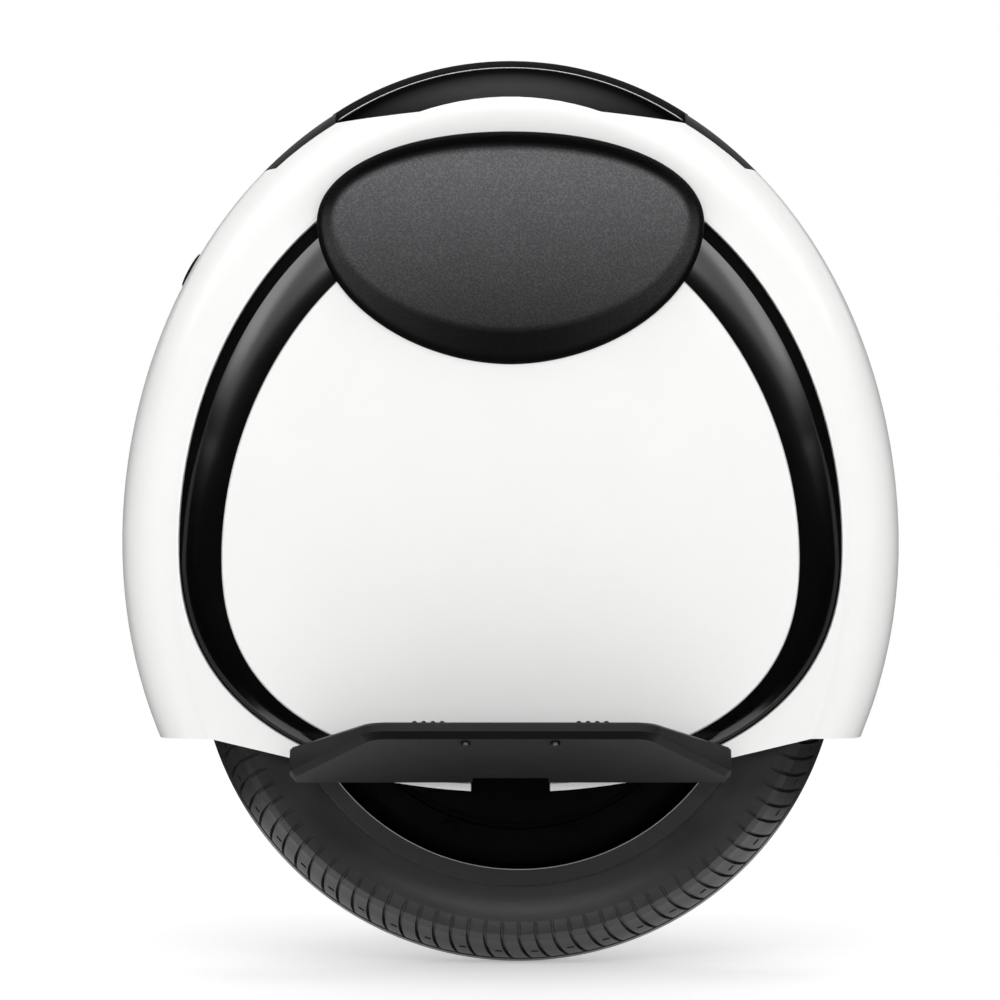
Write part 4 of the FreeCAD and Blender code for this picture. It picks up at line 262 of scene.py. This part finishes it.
finishes = {
    # ABS, injection moulded in a polished tool: clean white with a soft gloss and the faintest ripple
    "whiteShell": {"name": "ABS moulded gloss white", "tones": ("F6F6F5", "FAFAF9"), "cloudSize": 45,
                   "rough": (0.20, 0.27), "grainSize": 9, "depth": 0.010, "ior": 1.53, "specular": 0.35,
                   "on": bothSides("shell", "side_panel")},
    # ABS, moulded black and polished: near black, takes one clear reflection of the strip lights
    "blackTrim": {"name": "ABS moulded gloss black", "tones": ("030303", "050505"), "cloudSize": 30,
                  "rough": (0.18, 0.23), "grainSize": 8, "depth": 0.008, "ior": 1.53, "specular": 0.8,
                  "on": []},
    # glass filled nylon, moulded in a spark eroded tool: an even fine texture that spreads the light
    "satinMoulding": {"name": "nylon moulded spark textured black", "tones": ("141416", "1A1A1C"),
                      "cloudSize": 12, "rough": (0.42, 0.52), "grainSize": 0.7, "depth": 0.03, "ior": 1.53,
                      "specular": 0.1, "on": bothSides("wheel_arch", "battery_tray") + ["charge_door"]},
    # nylon with a soft touch skin, moulded: dull black, with the belly under the strap painted pale grey as
    # the light that falls into the hollow
    "handleSkin": {"name": "nylon moulded soft touch black", "tones": ("141416", "1A1A1C"), "cloudSize": 12,
                   "rough": (0.62, 0.72), "grainSize": 0.7, "depth": 0.03, "ior": 1.53, "specular": 0.08,
                   # painted light: pale grey within 150 mm of the strap's axis, fading out over 16 mm
                   "zone": {"keep": (1, 0, 1), "shift": (0, 0, -0.3212), "measure": "LENGTH",
                            "along": (0, 0, 0), "from": 0.0, "to": 150.0, "soft": 16.0, "tone": "8A8A8C"},
                   "on": ["carry_handle"]},
    # the same nylon in the hollow under the handle, painted grey as the light that falls into the hollow
    "wellMoulding": {"name": "nylon moulded spark textured grey", "tones": ("5E5E60", "6A6A6C"),
                     "cloudSize": 12, "rough": (0.42, 0.52), "grainSize": 0.7, "depth": 0.03, "ior": 1.53,
                     "specular": 0.2, "on": ["handle_well"]},
    # acetal, moulded: smooth and a little waxy
    "buttonMoulding": {"name": "acetal moulded fine matt black", "tones": ("161618", "1D1D1F"),
                       "cloudSize": 6, "rough": (0.38, 0.46), "grainSize": 0.5, "depth": 0.015, "ior": 1.48,
                       "specular": 0.3, "on": ["power_button", "lift_button"]},
    # polyurethane foam with a moulded skin: grey leather grain on the face, drawn at 1.1 mm so that it shows;
    # the edge is painted near black as shade under the brow and at the chin, and the face carries painted
    # light and shade
    "padSkin": {"name": "polyurethane foam moulded leather grain", "tones": ("4A4A4C", "767678"),
                "cloudSize": 18, "cloudTone": 0.25, "grainTone": 1.1, "edgeShadeTone": "060607",
                "rough": (0.55, 0.66), "relief": "cells", "grainSize": 1.1, "depth": 0.3, "ior": 1.5,
                "specular": 0.12, "on": []},
    # natural rubber, vulcanised in a mould: dull black with a dusty bloom and fine tooling marks
    "tyreRubber": {"name": "rubber vulcanised tyre black", "tones": ("222223", "2E2E2F"), "cloudSize": 14,
                   "rough": (0.34, 0.44), "grainSize": 0.9, "depth": 0.05, "ior": 1.52, "specular": 0.9,
                   "on": []},
    # butyl, drawn and cured: smooth, slightly shiny
    "tubeRubber": {"name": "butyl rubber cured smooth", "tones": ("161617", "1E1E1F"), "cloudSize": 10,
                   "rough": (0.4, 0.5), "grainSize": 1.2, "depth": 0.03, "ior": 1.52, "on": ["inner_tube"]},
    # natural rubber, moulded ribs: matt, a little greyer where it is rubbed
    "gripRubber": {"name": "rubber moulded grip black", "tones": ("19191A", "242425"), "cloudSize": 5,
                   "rough": (0.6, 0.72), "grainSize": 0.6, "depth": 0.04, "ior": 1.52, "specular": 0.3,
                   "on": bothSides("pedal_grips")},
    # silicone, extruded over copper: soft sheen
    "cableJacket": {"name": "silicone extruded cable jacket", "tones": ("141415", "1B1B1C"), "cloudSize": 8,
                    "rough": (0.45, 0.55), "grainSize": 0.6, "depth": 0.02, "ior": 1.41,
                    "on": ["motor_cable"]},
    # aluminium, cast and powder coated: satin black with an orange peel of about 1.5 mm;
    # a near-black band on the lower bevel is painted shade
    "pedalCoat": {"name": "aluminium cast powder coated satin black", "tones": ("232324", "2B2B2C"),
                  "cloudSize": 14, "rough": (0.34, 0.44), "grainSize": 1.5, "depth": 0.03, "ior": 1.5,
                  "specular": 0.12,
                  # painted shade: near black in a 3 mm band along the lower bevel
                  "zone": {"keep": (1, 1, 1), "shift": (0, 0, 0), "measure": "DOT_PRODUCT",
                           "along": (0, -0.315, 0.949), "from": 73.75, "to": 76.9, "soft": 0.1,
                           "tone": "020202"},
                  "on": bothSides("pedal")},
    # the same coat on the hangers, painted darker than on the pedals as the shade they stand in
    "hangerCoat": {"name": "aluminium cast powder coated hanger black", "tones": ("08080A", "0D0D0E"),
                   "cloudSize": 14, "rough": (0.4, 0.5), "grainSize": 1.5, "depth": 0.03, "ior": 1.5,
                   "specular": 0.15, "on": bothSides("pedal_hanger")},
    # the same coat on the rim, with the barrel painted near black as the shade that falls inside it
    "rimCoat": {"name": "aluminium cast powder coated rim black", "tones": ("323233", "3A3A3B"),
                "cloudSize": 14, "rough": (0.32, 0.42), "grainSize": 1.5, "depth": 0.03, "ior": 1.5,
                "specular": 0.1,
                # painted shade: near black within 124.3 mm of the axle
                "zone": {"keep": (1, 0, 1), "shift": (-4.5 * mm, 0, -177.0 * mm), "measure": "LENGTH",
                         "along": (0, 0, 0), "from": 0.0, "to": 124.3, "soft": 0.2, "tone": "020202"},
                "on": ["rim"]},
    # aluminium, spun and powder coated: darker and flatter than the rim
    "coverCoat": {"name": "aluminium spun powder coated matt black", "tones": ("040404", "070708"),
                  "cloudSize": 16, "rough": (0.42, 0.52), "grainSize": 1.4, "depth": 0.025, "ior": 1.5,
                  "specular": 0.05, "on": bothSides("motor_cover") + ["cover_screws"]},
    # steel, turned: fine rings round the axle that stretch the highlights
    "turnedSteel": {"name": "steel turned bright", "tones": ("9A9B9D", "B4B5B7"), "cloudSize": 8,
                    "rough": (0.22, 0.32), "relief": "RINGS", "axis": "Y", "grainSize": 0.5, "depth": 0.006,
                    "metallic": 1.0,
                    "on": bothSides("wheel_bearing", "hinge_pin") + [
                        "axle", "axle_nuts", "axle_washers", "flux_ring"]},
    # steel, cold headed and zinc nickel plated: dark grey metal with bright edges
    "screwSteel": {"name": "steel cold headed nickel plated", "tones": ("6A6B6D", "87888A"), "cloudSize": 3,
                   "rough": (0.24, 0.36), "grainSize": 0.4, "depth": 0.008, "metallic": 1.0,
                   "on": bothSides("pedal_bumpers") + ["shell_screws"]},
    # neodymium, sintered and nickel plated: bright, faintly yellow
    "magnetPlate": {"name": "neodymium sintered nickel plated", "tones": ("B8B4A8", "C9C5B9"), "cloudSize": 5,
                    "rough": (0.2, 0.3), "grainSize": 0.5, "depth": 0.004, "metallic": 1.0,
                    "on": ["magnets"]},
    # electrical steel, stamped and stacked: 0.5 mm sheets seen edge on
    "stackedSheet": {"name": "electrical steel stamped and stacked", "tones": ("4A4B50", "66676C"),
                     "cloudSize": 10, "rough": (0.35, 0.45), "relief": "BANDS", "axis": "Y", "grainSize": 0.5,
                     "depth": 0.03, "metallic": 1.0, "on": ["stator_core"]},
    # copper, enamelled and wound: 0.8 mm wires side by side under a clear coat
    "woundCopper": {"name": "copper enamelled and wound", "tones": ("8A4A22", "B5662F"), "cloudSize": 6,
                    "rough": (0.25, 0.35), "relief": "BANDS", "axis": "Y", "grainSize": 0.8, "depth": 0.12,
                    "metallic": 1.0, "coat": 0.5, "on": ["stator_coils"]},
    # aluminium, machined and left bare: pale with fine tool lines
    "bareAluminium": {"name": "aluminium machined bare", "tones": ("B9BBBD", "CDCFD1"), "cloudSize": 12,
                      "rough": (0.28, 0.38), "relief": "BANDS", "axis": "X", "grainSize": 0.6, "depth": 0.008,
                      "metallic": 1.0, "on": ["stator_carrier", "heat_sink"]},
    # PVC sleeve, heat shrunk on the cell: smooth blue with a slight ripple
    "cellWrap": {"name": "PVC heat shrunk cell sleeve", "tones": ("1B4C86", "23599A"), "cloudSize": 20,
                 "rough": (0.25, 0.35), "grainSize": 4, "depth": 0.02, "ior": 1.53,
                 "on": bothSides("battery_cells")},
    # epoxy, transfer moulded round the chip: dull black
    "chipCase": {"name": "epoxy transfer moulded case", "tones": ("18181A", "222224"), "cloudSize": 4,
                 "rough": (0.5, 0.6), "grainSize": 0.4, "depth": 0.01, "ior": 1.55,
                 "on": ["power_transistors", "capacitors"]},
    # glass epoxy laminate, solder masked: green with the glass weave faintly showing
    "circuitBoard": {"name": "glass epoxy solder masked green", "tones": ("123E22", "1B5230"), "cloudSize": 3,
                     "rough": (0.3, 0.4), "relief": "BANDS", "axis": "X", "grainSize": 0.9, "depth": 0.01,
                     "ior": 1.55, "on": ["control_board", "head_lamp_board", "tail_lamp_board"]},
    # polycarbonate, moulded clear in a frosted tool: a bright window that only hints at what is behind it
    "clearLens": {"name": "polycarbonate moulded frosted clear", "tones": ("E9EDEE", "F2F5F6"),
                  "cloudSize": 20, "rough": (0.26, 0.32), "grainSize": 5, "depth": 0.01, "ior": 1.585,
                  "clear": 1.0, "on": ["head_lamp_lens"]},
    # polycarbonate, moulded red: deep colour that glows at its thin edges
    "redLens": {"name": "polycarbonate moulded red", "tones": ("B3120F", "C91A14"), "cloudSize": 20,
                "rough": (0.05, 0.1), "grainSize": 5, "depth": 0.01, "ior": 1.585, "clear": 0.7,
                "on": ["tail_lamp_lens"]},
    # nylon, moulded connector: matt black
    "socketBody": {"name": "nylon moulded connector black", "tones": ("141416", "1C1C1E"), "cloudSize": 5,
                   "rough": (0.4, 0.5), "grainSize": 0.5, "depth": 0.015, "ior": 1.53,
                   "on": ["charge_socket"]},
    # brass, turned: warm yellow with fine rings
    "turnedBrass": {"name": "brass turned", "tones": ("A98643", "C29C55"), "cloudSize": 4,
                    "rough": (0.22, 0.32), "relief": "RINGS", "axis": "Z", "grainSize": 0.4, "depth": 0.006,
                    "metallic": 1.0, "on": ["valve_stem"]},
    # polyethylene, moulded cap: soft black
    "capPlastic": {"name": "polyethylene moulded cap black", "tones": ("161617", "1F1F20"), "cloudSize": 3,
                   "rough": (0.4, 0.5), "grainSize": 0.5, "depth": 0.02, "ior": 1.51, "on": ["valve_cap"]},
}
skins = {}
for key, look in finishes.items():
    skins[key] = makeFinish(look)
    for name in look["on"]:
        nodes[name].data.materials.clear()
        nodes[name].data.materials.append(skins[key])
print("finishes made:", len(skins))


# a mesh piece from points in millimetres, smooth but for edges sharper than crease
def newPiece(name, points, faces, skin, body, crease):
    mesh = bpy.data.meshes.new(name)
    mesh.from_pydata([(x * mm, y * mm, z * mm) for x, y, z in points], [], faces)
    mesh.validate()
    mesh.update()
    mesh.shade_smooth()
    mesh.set_sharp_from_angle(angle=math.radians(crease))
    mesh.materials.append(skins[skin])
    piece = bpy.data.objects.new(name, mesh)
    scene.collection.objects.link(piece)
    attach(piece, body)
    return piece


# tyre: a closed ring of rows across the section and columns round the wheel,
# the columns slide along the curved grooves so that every groove wall stays crisp
tyreTread = {
    "centre": (4.5, 177.0), "crown": 177.0, "crownRadius": 25.97, "pitches": 108,
    "crownAngles": (0, 8, 16, 22), "ringGroove": (22.8, 25.8), "blockAngles": (26.6, 30, 34, 38),
    "sipe": (40.5, 41.2, 42.9, 43.6), "shoulderAngles": (48, 53),
    "shoulder": ((23.7, 164.2), (24.95, 160.8), (25.0, 160.3), (22.9, 154.2)),
    "sidewall": ((22.7, 153.0), (22.3, 150.5), (21.5, 147.5), (20.3, 143.5), (19.6, 139.5), (19.5, 136.0),
                 (19.4, 134.0)),
    "inside": ((17.5, 134.5), (18.0, 149.0), (17.0, 160.0), (9.5, 168.5), (0.0, 171.5)),
    "grooveDepth": 2.6, "ringDepth": 1.5, "sipeDepth": 1.3, "sweepLength": 8.0, "sweepPower": 2.6,
    "ringGrooveShare": 0.65, "shoulderShares": (1, 0.9, 0.85, 0),
    "columns": (-0.105, -0.075, 0.075, 0.105, 0.25, 0.40, 0.43, 0.77, 0.80),
    "grooveHalf": 0.1, "sipeSpan": (0.42, 0.78),
    "crease": 28,
}


# one half of the section from the crown's middle to the bead: across, radius, and the shares of
# groove, ring groove and sipe
def tyreRows():
    rows = []
    for angles, groove, ring, sipe in (
            (tyreTread["crownAngles"], 0, 0, 0), (tyreTread["ringGroove"], tyreTread["ringGrooveShare"], 1, 0),
            (tyreTread["blockAngles"], 1, 0, 0), (tyreTread["sipe"][:1], 1, 0, 0),
            (tyreTread["sipe"][1:3], 1, 0, 1), (tyreTread["sipe"][3:], 1, 0, 0),
            (tyreTread["shoulderAngles"], 1, 0, 0)):
        for angle in angles:
            turn = math.radians(angle)
            radius = tyreTread["crown"] - tyreTread["crownRadius"] * (1 - math.cos(turn))
            rows.append((tyreTread["crownRadius"] * math.sin(turn), radius, groove, ring, sipe))
    for (across, radius), groove in zip(tyreTread["shoulder"], tyreTread["shoulderShares"]):
        rows.append((across, radius, groove, 0, 0))
    return rows + [(across, radius, 0, 0, 0) for across, radius in tyreTread["sidewall"]]


def buildTyre():
    half = tyreRows()
    grooved = [i for i, row in enumerate(half) if row[2] > 0]
    lengths = [0.0]
    for (y0, r0, *_), (y1, r1, *_) in zip(half, half[1:]):
        lengths.append(lengths[-1] + math.hypot(y1 - y0, r1 - r0))
    inner, outer = lengths[grooved[-1] + 1], lengths[grooved[0]]
    pitchAngle = 2 * math.pi / tyreTread["pitches"]
    sweepAngle = tyreTread["sweepLength"] / tyreTread["crown"]
    rows = []
    for i, (across, radius, groove, ring, sipe) in enumerate(half):
        before, after = half[max(i - 1, 0)], half[min(i + 1, len(half) - 1)]
        along = Vector((after[0] - before[0], after[1] - before[1])).normalized()
        share = clamp((inner - lengths[i]) / (inner - outer))
        rows.append({"at": (across, radius), "inward": (along.y, -along.x), "groove": groove, "ring": ring,
                     "sipe": sipe, "turn": sweepAngle * share ** tyreTread["sweepPower"]})
    ringRows = []
    for row in reversed(rows[1:]):
        (across, radius), (inAcross, inRadius) = row["at"], row["inward"]
        ringRows.append(dict(row, at=(-across, radius), inward=(-inAcross, inRadius)))
    # the left half's blocks stand half a pitch on, with the crown's middle row between
    for row in rows:
        ringRows.append(dict(row, turn=row["turn"] + pitchAngle / (4 if row is rows[0] else 2)))
    flat = {"inward": (0, 0), "groove": 0, "ring": 0, "sipe": 0}
    for across, radius in tyreTread["inside"]:
        ringRows.append(dict(flat, at=(across, radius), turn=pitchAngle / 2 if across else pitchAngle / 4))
    for across, radius in reversed(tyreTread["inside"][:-1]):
        ringRows.append(dict(flat, at=(-across, radius), turn=0))
    shares = tyreTread["columns"]
    sipeStart, sipeEnd = tyreTread["sipeSpan"]
    points = []
    for row in ringRows:
        for pitch in range(tyreTread["pitches"]):
            for share in shares:
                sunk = row["ring"] * tyreTread["ringDepth"]
                if abs(share) < tyreTread["grooveHalf"]:
                    sunk = max(sunk, row["groove"] * tyreTread["grooveDepth"])
                if row["sipe"] and sipeStart < share < sipeEnd and pitch % 2:
                    sunk = tyreTread["sipeDepth"]
                across = row["at"][0] + row["inward"][0] * sunk
                radius = row["at"][1] + row["inward"][1] * sunk
                angle = (pitch + share) * pitchAngle + row["turn"]
                points.append((tyreTread["centre"][0] + radius * math.cos(angle), across,
                               tyreTread["centre"][1] + radius * math.sin(angle)))
    count = tyreTread["pitches"] * len(shares)
    faces = []
    for i in range(len(ringRows)):
        upper, lower = i * count, (i + 1) % len(ringRows) * count
        for j in range(count):
            k = (j + 1) % count
            faces.append((upper + j, lower + j, lower + k, upper + k))
    tyre = newPiece("tyre_tread", points, faces, "tyreRubber", "wheel", tyreTread["crease"])
    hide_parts("tyre")


buildTyre()
print("tyre built")

# leg pads: one foam moulding a side, a soft brow over a scooped face and a crisp edge above the chin
legPad = {
    "centre": (0.0, 400.3), "half": 103.5, "rise": 48.4, "drop": 75.3, "powers": (2.1, 1.9),
    "sideBorder": 10.0, "browBorder": 10.5, "chinBorder": 19.0, "borderPower": 1.3, "round": 2.2,
    "rimDepth": (71.0, 66.0, 63.8), "faceDepth": (63.0, 75.0), "crown": 0.4,
    "bed": (58.3, 62.3), "ring": (0.0, 228.5, 178.0, 214.1), "bedEdge": (1.06, 0.05), "around": 192,
    "rimSteps": ((0.0, 1.0), (0.12, 0.5), (0.45, 0.14), (1.0, 0.0)),
    "borderSteps": (0.2, 0.4, 0.6, 0.8, 0.93, 1.0), "faceSteps": (0.985, 0.95, 0.86, 0.72, 0.55, 0.38, 0.2),
    # bevel and chin tones paint shade on the border, the face tones paint light on the face, lighter at the
    # top
    "bevelShade": 0.34, "chinShade": 0.02, "faceLightAndShade": (1.1, 0.06), "toneFall": 0.65, "crease": 60, "fill": 0.9,
}


# a point on the pad's outline drawn in by inset, at a turn from the front's horizontal
def padOutline(turn, inset):
    up = math.sin(turn) >= 0
    power = legPad["powers"][0 if up else 1]
    cosine, sine = math.cos(turn), abs(math.sin(turn))
    x = math.copysign(abs(cosine) ** (2 / power), cosine) * (legPad["half"] - inset)
    z = sine ** (2 / power) * ((legPad["rise"] if up else legPad["drop"]) - inset)
    return x, legPad["centre"][1] + (z if up else -z)


# how deep the trim behind the pad lets its back go at a point
def padBed(x, z):
    midX, midZ, half, rise = legPad["ring"]
    inside = ((x - midX) / half) ** 2 + ((z - midZ) / rise) ** 2
    edge, soft = legPad["bedEdge"]
    share = clamp((edge - inside) / soft)
    return legPad["bed"][0] + (legPad["bed"][1] - legPad["bed"][0]) * share


def faceDepth(z):
    top = legPad["centre"][1] + legPad["rise"]
    share = (top - z) / (legPad["rise"] + legPad["drop"])
    high, low = legPad["faceDepth"]
    return high + (low - high) * (1 - (1 - share) ** 2)


# painted light and shade on the face: lighter at the top where the light falls, darker towards the chin
def faceLightAndShade(z):
    share = (legPad["centre"][1] + legPad["rise"] - z) / (legPad["rise"] + legPad["drop"])
    fall = clamp(share) ** legPad["toneFall"]
    return legPad["faceLightAndShade"][0] + (legPad["faceLightAndShade"][1] - legPad["faceLightAndShade"][0]) * fall


def borderWidth(turn):
    rise = math.sin(turn)
    far = legPad["browBorder"] if rise > 0 else legPad["chinBorder"]
    return legPad["sideBorder"] + (far - legPad["sideBorder"]) * abs(rise) ** legPad["borderPower"]


def rimDepth(turn):
    rise = math.sin(turn)
    brow, side, chin = legPad["rimDepth"]
    return side + (brow - side) * rise if rise > 0 else side + (side - chin) * rise


def buildLegPad(side, sign):
    rings = []
    around = legPad["around"]
    turns = [2 * math.pi * i / around for i in range(around)]
    ring = []
    for turn in turns:
        x, z = padOutline(turn, 0)
        ring.append((x, padBed(x, z), z))
    rings.append(ring)
    for inShare, lowShare in legPad["rimSteps"]:
        ring = []
        for turn in turns:
            x, z = padOutline(turn, inShare * legPad["round"])
            ring.append((x, rimDepth(turn) - lowShare * legPad["round"], z))
        rings.append(ring)
    for share in legPad["borderSteps"]:
        ring = []
        for turn in turns:
            inset = legPad["round"] + share * (borderWidth(turn) - legPad["round"])
            x, z = padOutline(turn, inset)
            mixed = smooth(share) if math.sin(turn) > 0 else share
            ring.append((x, rimDepth(turn) + (faceDepth(z) - rimDepth(turn)) * mixed, z))
        rings.append(ring)
    edge = [(x, z) for x, _, z in rings[-1]]
    middle = legPad["centre"]
    for share in legPad["faceSteps"]:
        ring = []
        for x, z in edge:
            x, z = middle[0] + (x - middle[0]) * share, middle[1] + (z - middle[1]) * share
            ring.append((x, faceDepth(z) + legPad["crown"] * (1 - share * share), z))
        rings.append(ring)
    points = [(x, sign * y, z) for ring in rings for x, y, z in ring]
    points.append((middle[0], sign * (faceDepth(middle[1]) + legPad["crown"]), middle[1]))
    points.append((middle[0], sign * legPad["bed"][1], middle[1]))
    faces = []
    for i in range(len(rings) - 1):
        for j in range(around):
            k = (j + 1) % around
            faces.append((i * around + j, i * around + k, (i + 1) * around + k, (i + 1) * around + j))
    last = (len(rings) - 1) * around
    for j in range(around):
        k = (j + 1) % around
        faces.append((last + j, last + k, len(points) - 2))
        faces.append((k, j, len(points) - 1))
    if sign > 0:
        faces = [tuple(reversed(face)) for face in faces]
    # painted shade: the border is near black at the rim, under the brow and at the chin, dark grey on the
    # sides
    shares = [0.0] * around * (1 + len(legPad["rimSteps"]))
    for share in legPad["borderSteps"]:
        for turn in turns:
            rise = math.sin(turn)
            bevel = legPad["bevelShade"] + (legPad["chinShade"] - legPad["bevelShade"]) * max(-rise, 0)
            bevel *= clamp((0.25 - rise) / 0.5) * min(share / 0.2, 1)
            # the grain comes in over the inner half of the border, and later towards the chin
            grainFrom = 0.5 + 0.35 * clamp(0.3 - rise)
            bare = smooth(clamp((share - grainFrom) / (1 - grainFrom)))
            shares.append(bevel + (faceLightAndShade(padOutline(turn, borderWidth(turn))[1]) - bevel) * bare)
    # painted light on the face: lighter at the top, darker towards the chin
    for ring in rings[-len(legPad["faceSteps"]):]:
        shares += [faceLightAndShade(z) for x, y, z in ring]
    pad = newPiece(side + "_pad_foam", points, faces, "padSkin", "chassis", legPad["crease"])
    skinAndShadeShare = pad.data.attributes.new("skinAndShadeShare", "FLOAT", "POINT")
    skinAndShadeShare.data.foreach_set("value", shares + [faceLightAndShade(middle[1]), 0.0])
    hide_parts(side + "_leg_pad")


buildLegPad("right", -1)
buildLegPad("left", 1)
print("leg pads built")

# trim: a band from a flat channel at the shell up a bank to the panel, open over the pedal hanger;
# further down the channel runs out and the bank steepens to a low step and a flat
trimBand = {
    "outer": (177.6, 213.7, 128.0, 228.5, 2.0, 2.35), "inner": (154.9, 188.5, 113.5, 223.1, 1.9, 2.4),
    "base": 54.0, "channel": 55.2, "crest": 62.0, "bankFrom": (0.04, 0.22), "skirt": 101.6, "notch": 5.4,
    "steep": (4.0, 2.0), "heights": (215.0, 285.0), "around": 240, "bankSteps": 12, "stepPower": 1.5,
    "crease": 25,
}


# a point on the blend of the band's two outlines, at a turn from the front's horizontal
def trimOutline(turn, share):
    half, rise, drop, middle, risePower, dropPower = [
        far + (near - far) * share for far, near in zip(trimBand["outer"], trimBand["inner"])]
    cosine, sine = math.cos(turn), math.sin(turn)
    reach, power = (rise, risePower) if sine >= 0 else (drop, dropPower)
    x = math.copysign(abs(cosine) ** (2 / power), cosine) * half
    z = middle + math.copysign(abs(sine) ** (2 / power), sine) * reach
    return x, max(z, trimBand["skirt"])


# the band's section: share of the way in and depth, from the base round the front and back to the base
def trimSection(z):
    low, high = trimBand["heights"]
    share = clamp((z - low) / (high - low))
    steep, start = [below + (above - below) * share
                    for below, above in (trimBand["steep"], trimBand["bankFrom"])]
    foot, rise = trimBand["channel"], trimBand["crest"] - trimBand["channel"]
    section = [(0.0, trimBand["base"]), (0.0, foot)]
    for step in range(trimBand["bankSteps"] + 1):
        along = (step / trimBand["bankSteps"]) ** trimBand["stepPower"]
        section.append((start + (1 - start) * along, foot + rise * (1 - (1 - along) ** steep)))
    return section + [(1.0, trimBand["base"])]


def buildTrimBand(side, sign):
    around = trimBand["around"]
    points = []
    for step in range(around + 1):
        turn = math.radians(trimBand["notch"] - 90 + (360 - 2 * trimBand["notch"]) * step / around)
        for share, depth in trimSection(trimOutline(turn, 0.5)[1]):
            x, z = trimOutline(turn, share)
            points.append((x, sign * depth, z))
    count = len(points) // (around + 1)
    faces = [tuple(range(count)), tuple(reversed(range(around * count, len(points))))]
    for step in range(around):
        start, end = step * count, (step + 1) * count
        for corner in range(count):
            after = (corner + 1) % count
            faces.append((start + corner, end + corner, end + after, start + after))
    if sign > 0:
        faces = [tuple(reversed(face)) for face in faces]
    band = newPiece(side + "_trim_band", points, faces, "blackTrim", "chassis",
                    trimBand["crease"])
    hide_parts(side + "_trim_ring")


buildTrimBand("right", -1)
buildTrimBand("left", 1)
print("trim bands built")

# painted highlights: round bright beads on arcs about an axis across the machine, standing for the light
# caught along the strap's lower edge and round the rim's edge; reach in degrees each way from the top
highlightBeads = {
    "strap_highlight": {"body": "chassis", "centre": (0.0, 321.2), "radius": 168.1, "reach": 34,
                   "across": 22.0, "thick": 0.45},
    "rim_highlight": {"body": "wheel", "centre": (4.5, 177.0), "radius": 124.7, "reach": 180,
                 "across": 25.8, "thick": 0.3},
}
beadMesh = {"sides": 8, "stepsEachDegree": 4, "crease": 50}


def buildHighlightBead(name, bead, sign):
    sides, steps = beadMesh["sides"], beadMesh["stepsEachDegree"] * bead["reach"]
    closed = bead["reach"] == 180
    points = []
    for step in range(steps if closed else steps + 1):
        turn = math.radians(bead["reach"] * (2 * step / steps - 1))
        for corner in range(sides):
            spin = 2 * math.pi * corner / sides
            radius = bead["radius"] + bead["thick"] * math.cos(spin)
            across = sign * bead["across"] + bead["thick"] * math.sin(spin)
            x, z = bead["centre"]
            points.append((x + radius * math.sin(turn), across, z + radius * math.cos(turn)))
    faces = []
    for step in range(steps):
        start, end = step * sides, (step + 1) * sides % len(points)
        for corner in range(sides):
            after = (corner + 1) % sides
            faces.append((start + corner, start + after, end + after, end + corner))
    if not closed:
        faces.append(tuple(reversed(range(sides))))
        faces.append(tuple(steps * sides + corner for corner in range(sides)))
    newPiece(name, points, faces, "bareAluminium", bead["body"], beadMesh["crease"])


for name, bead in highlightBeads.items():
    buildHighlightBead("right_" + name, bead, -1)
    buildHighlightBead("left_" + name, bead, 1)
print("edge beads built")
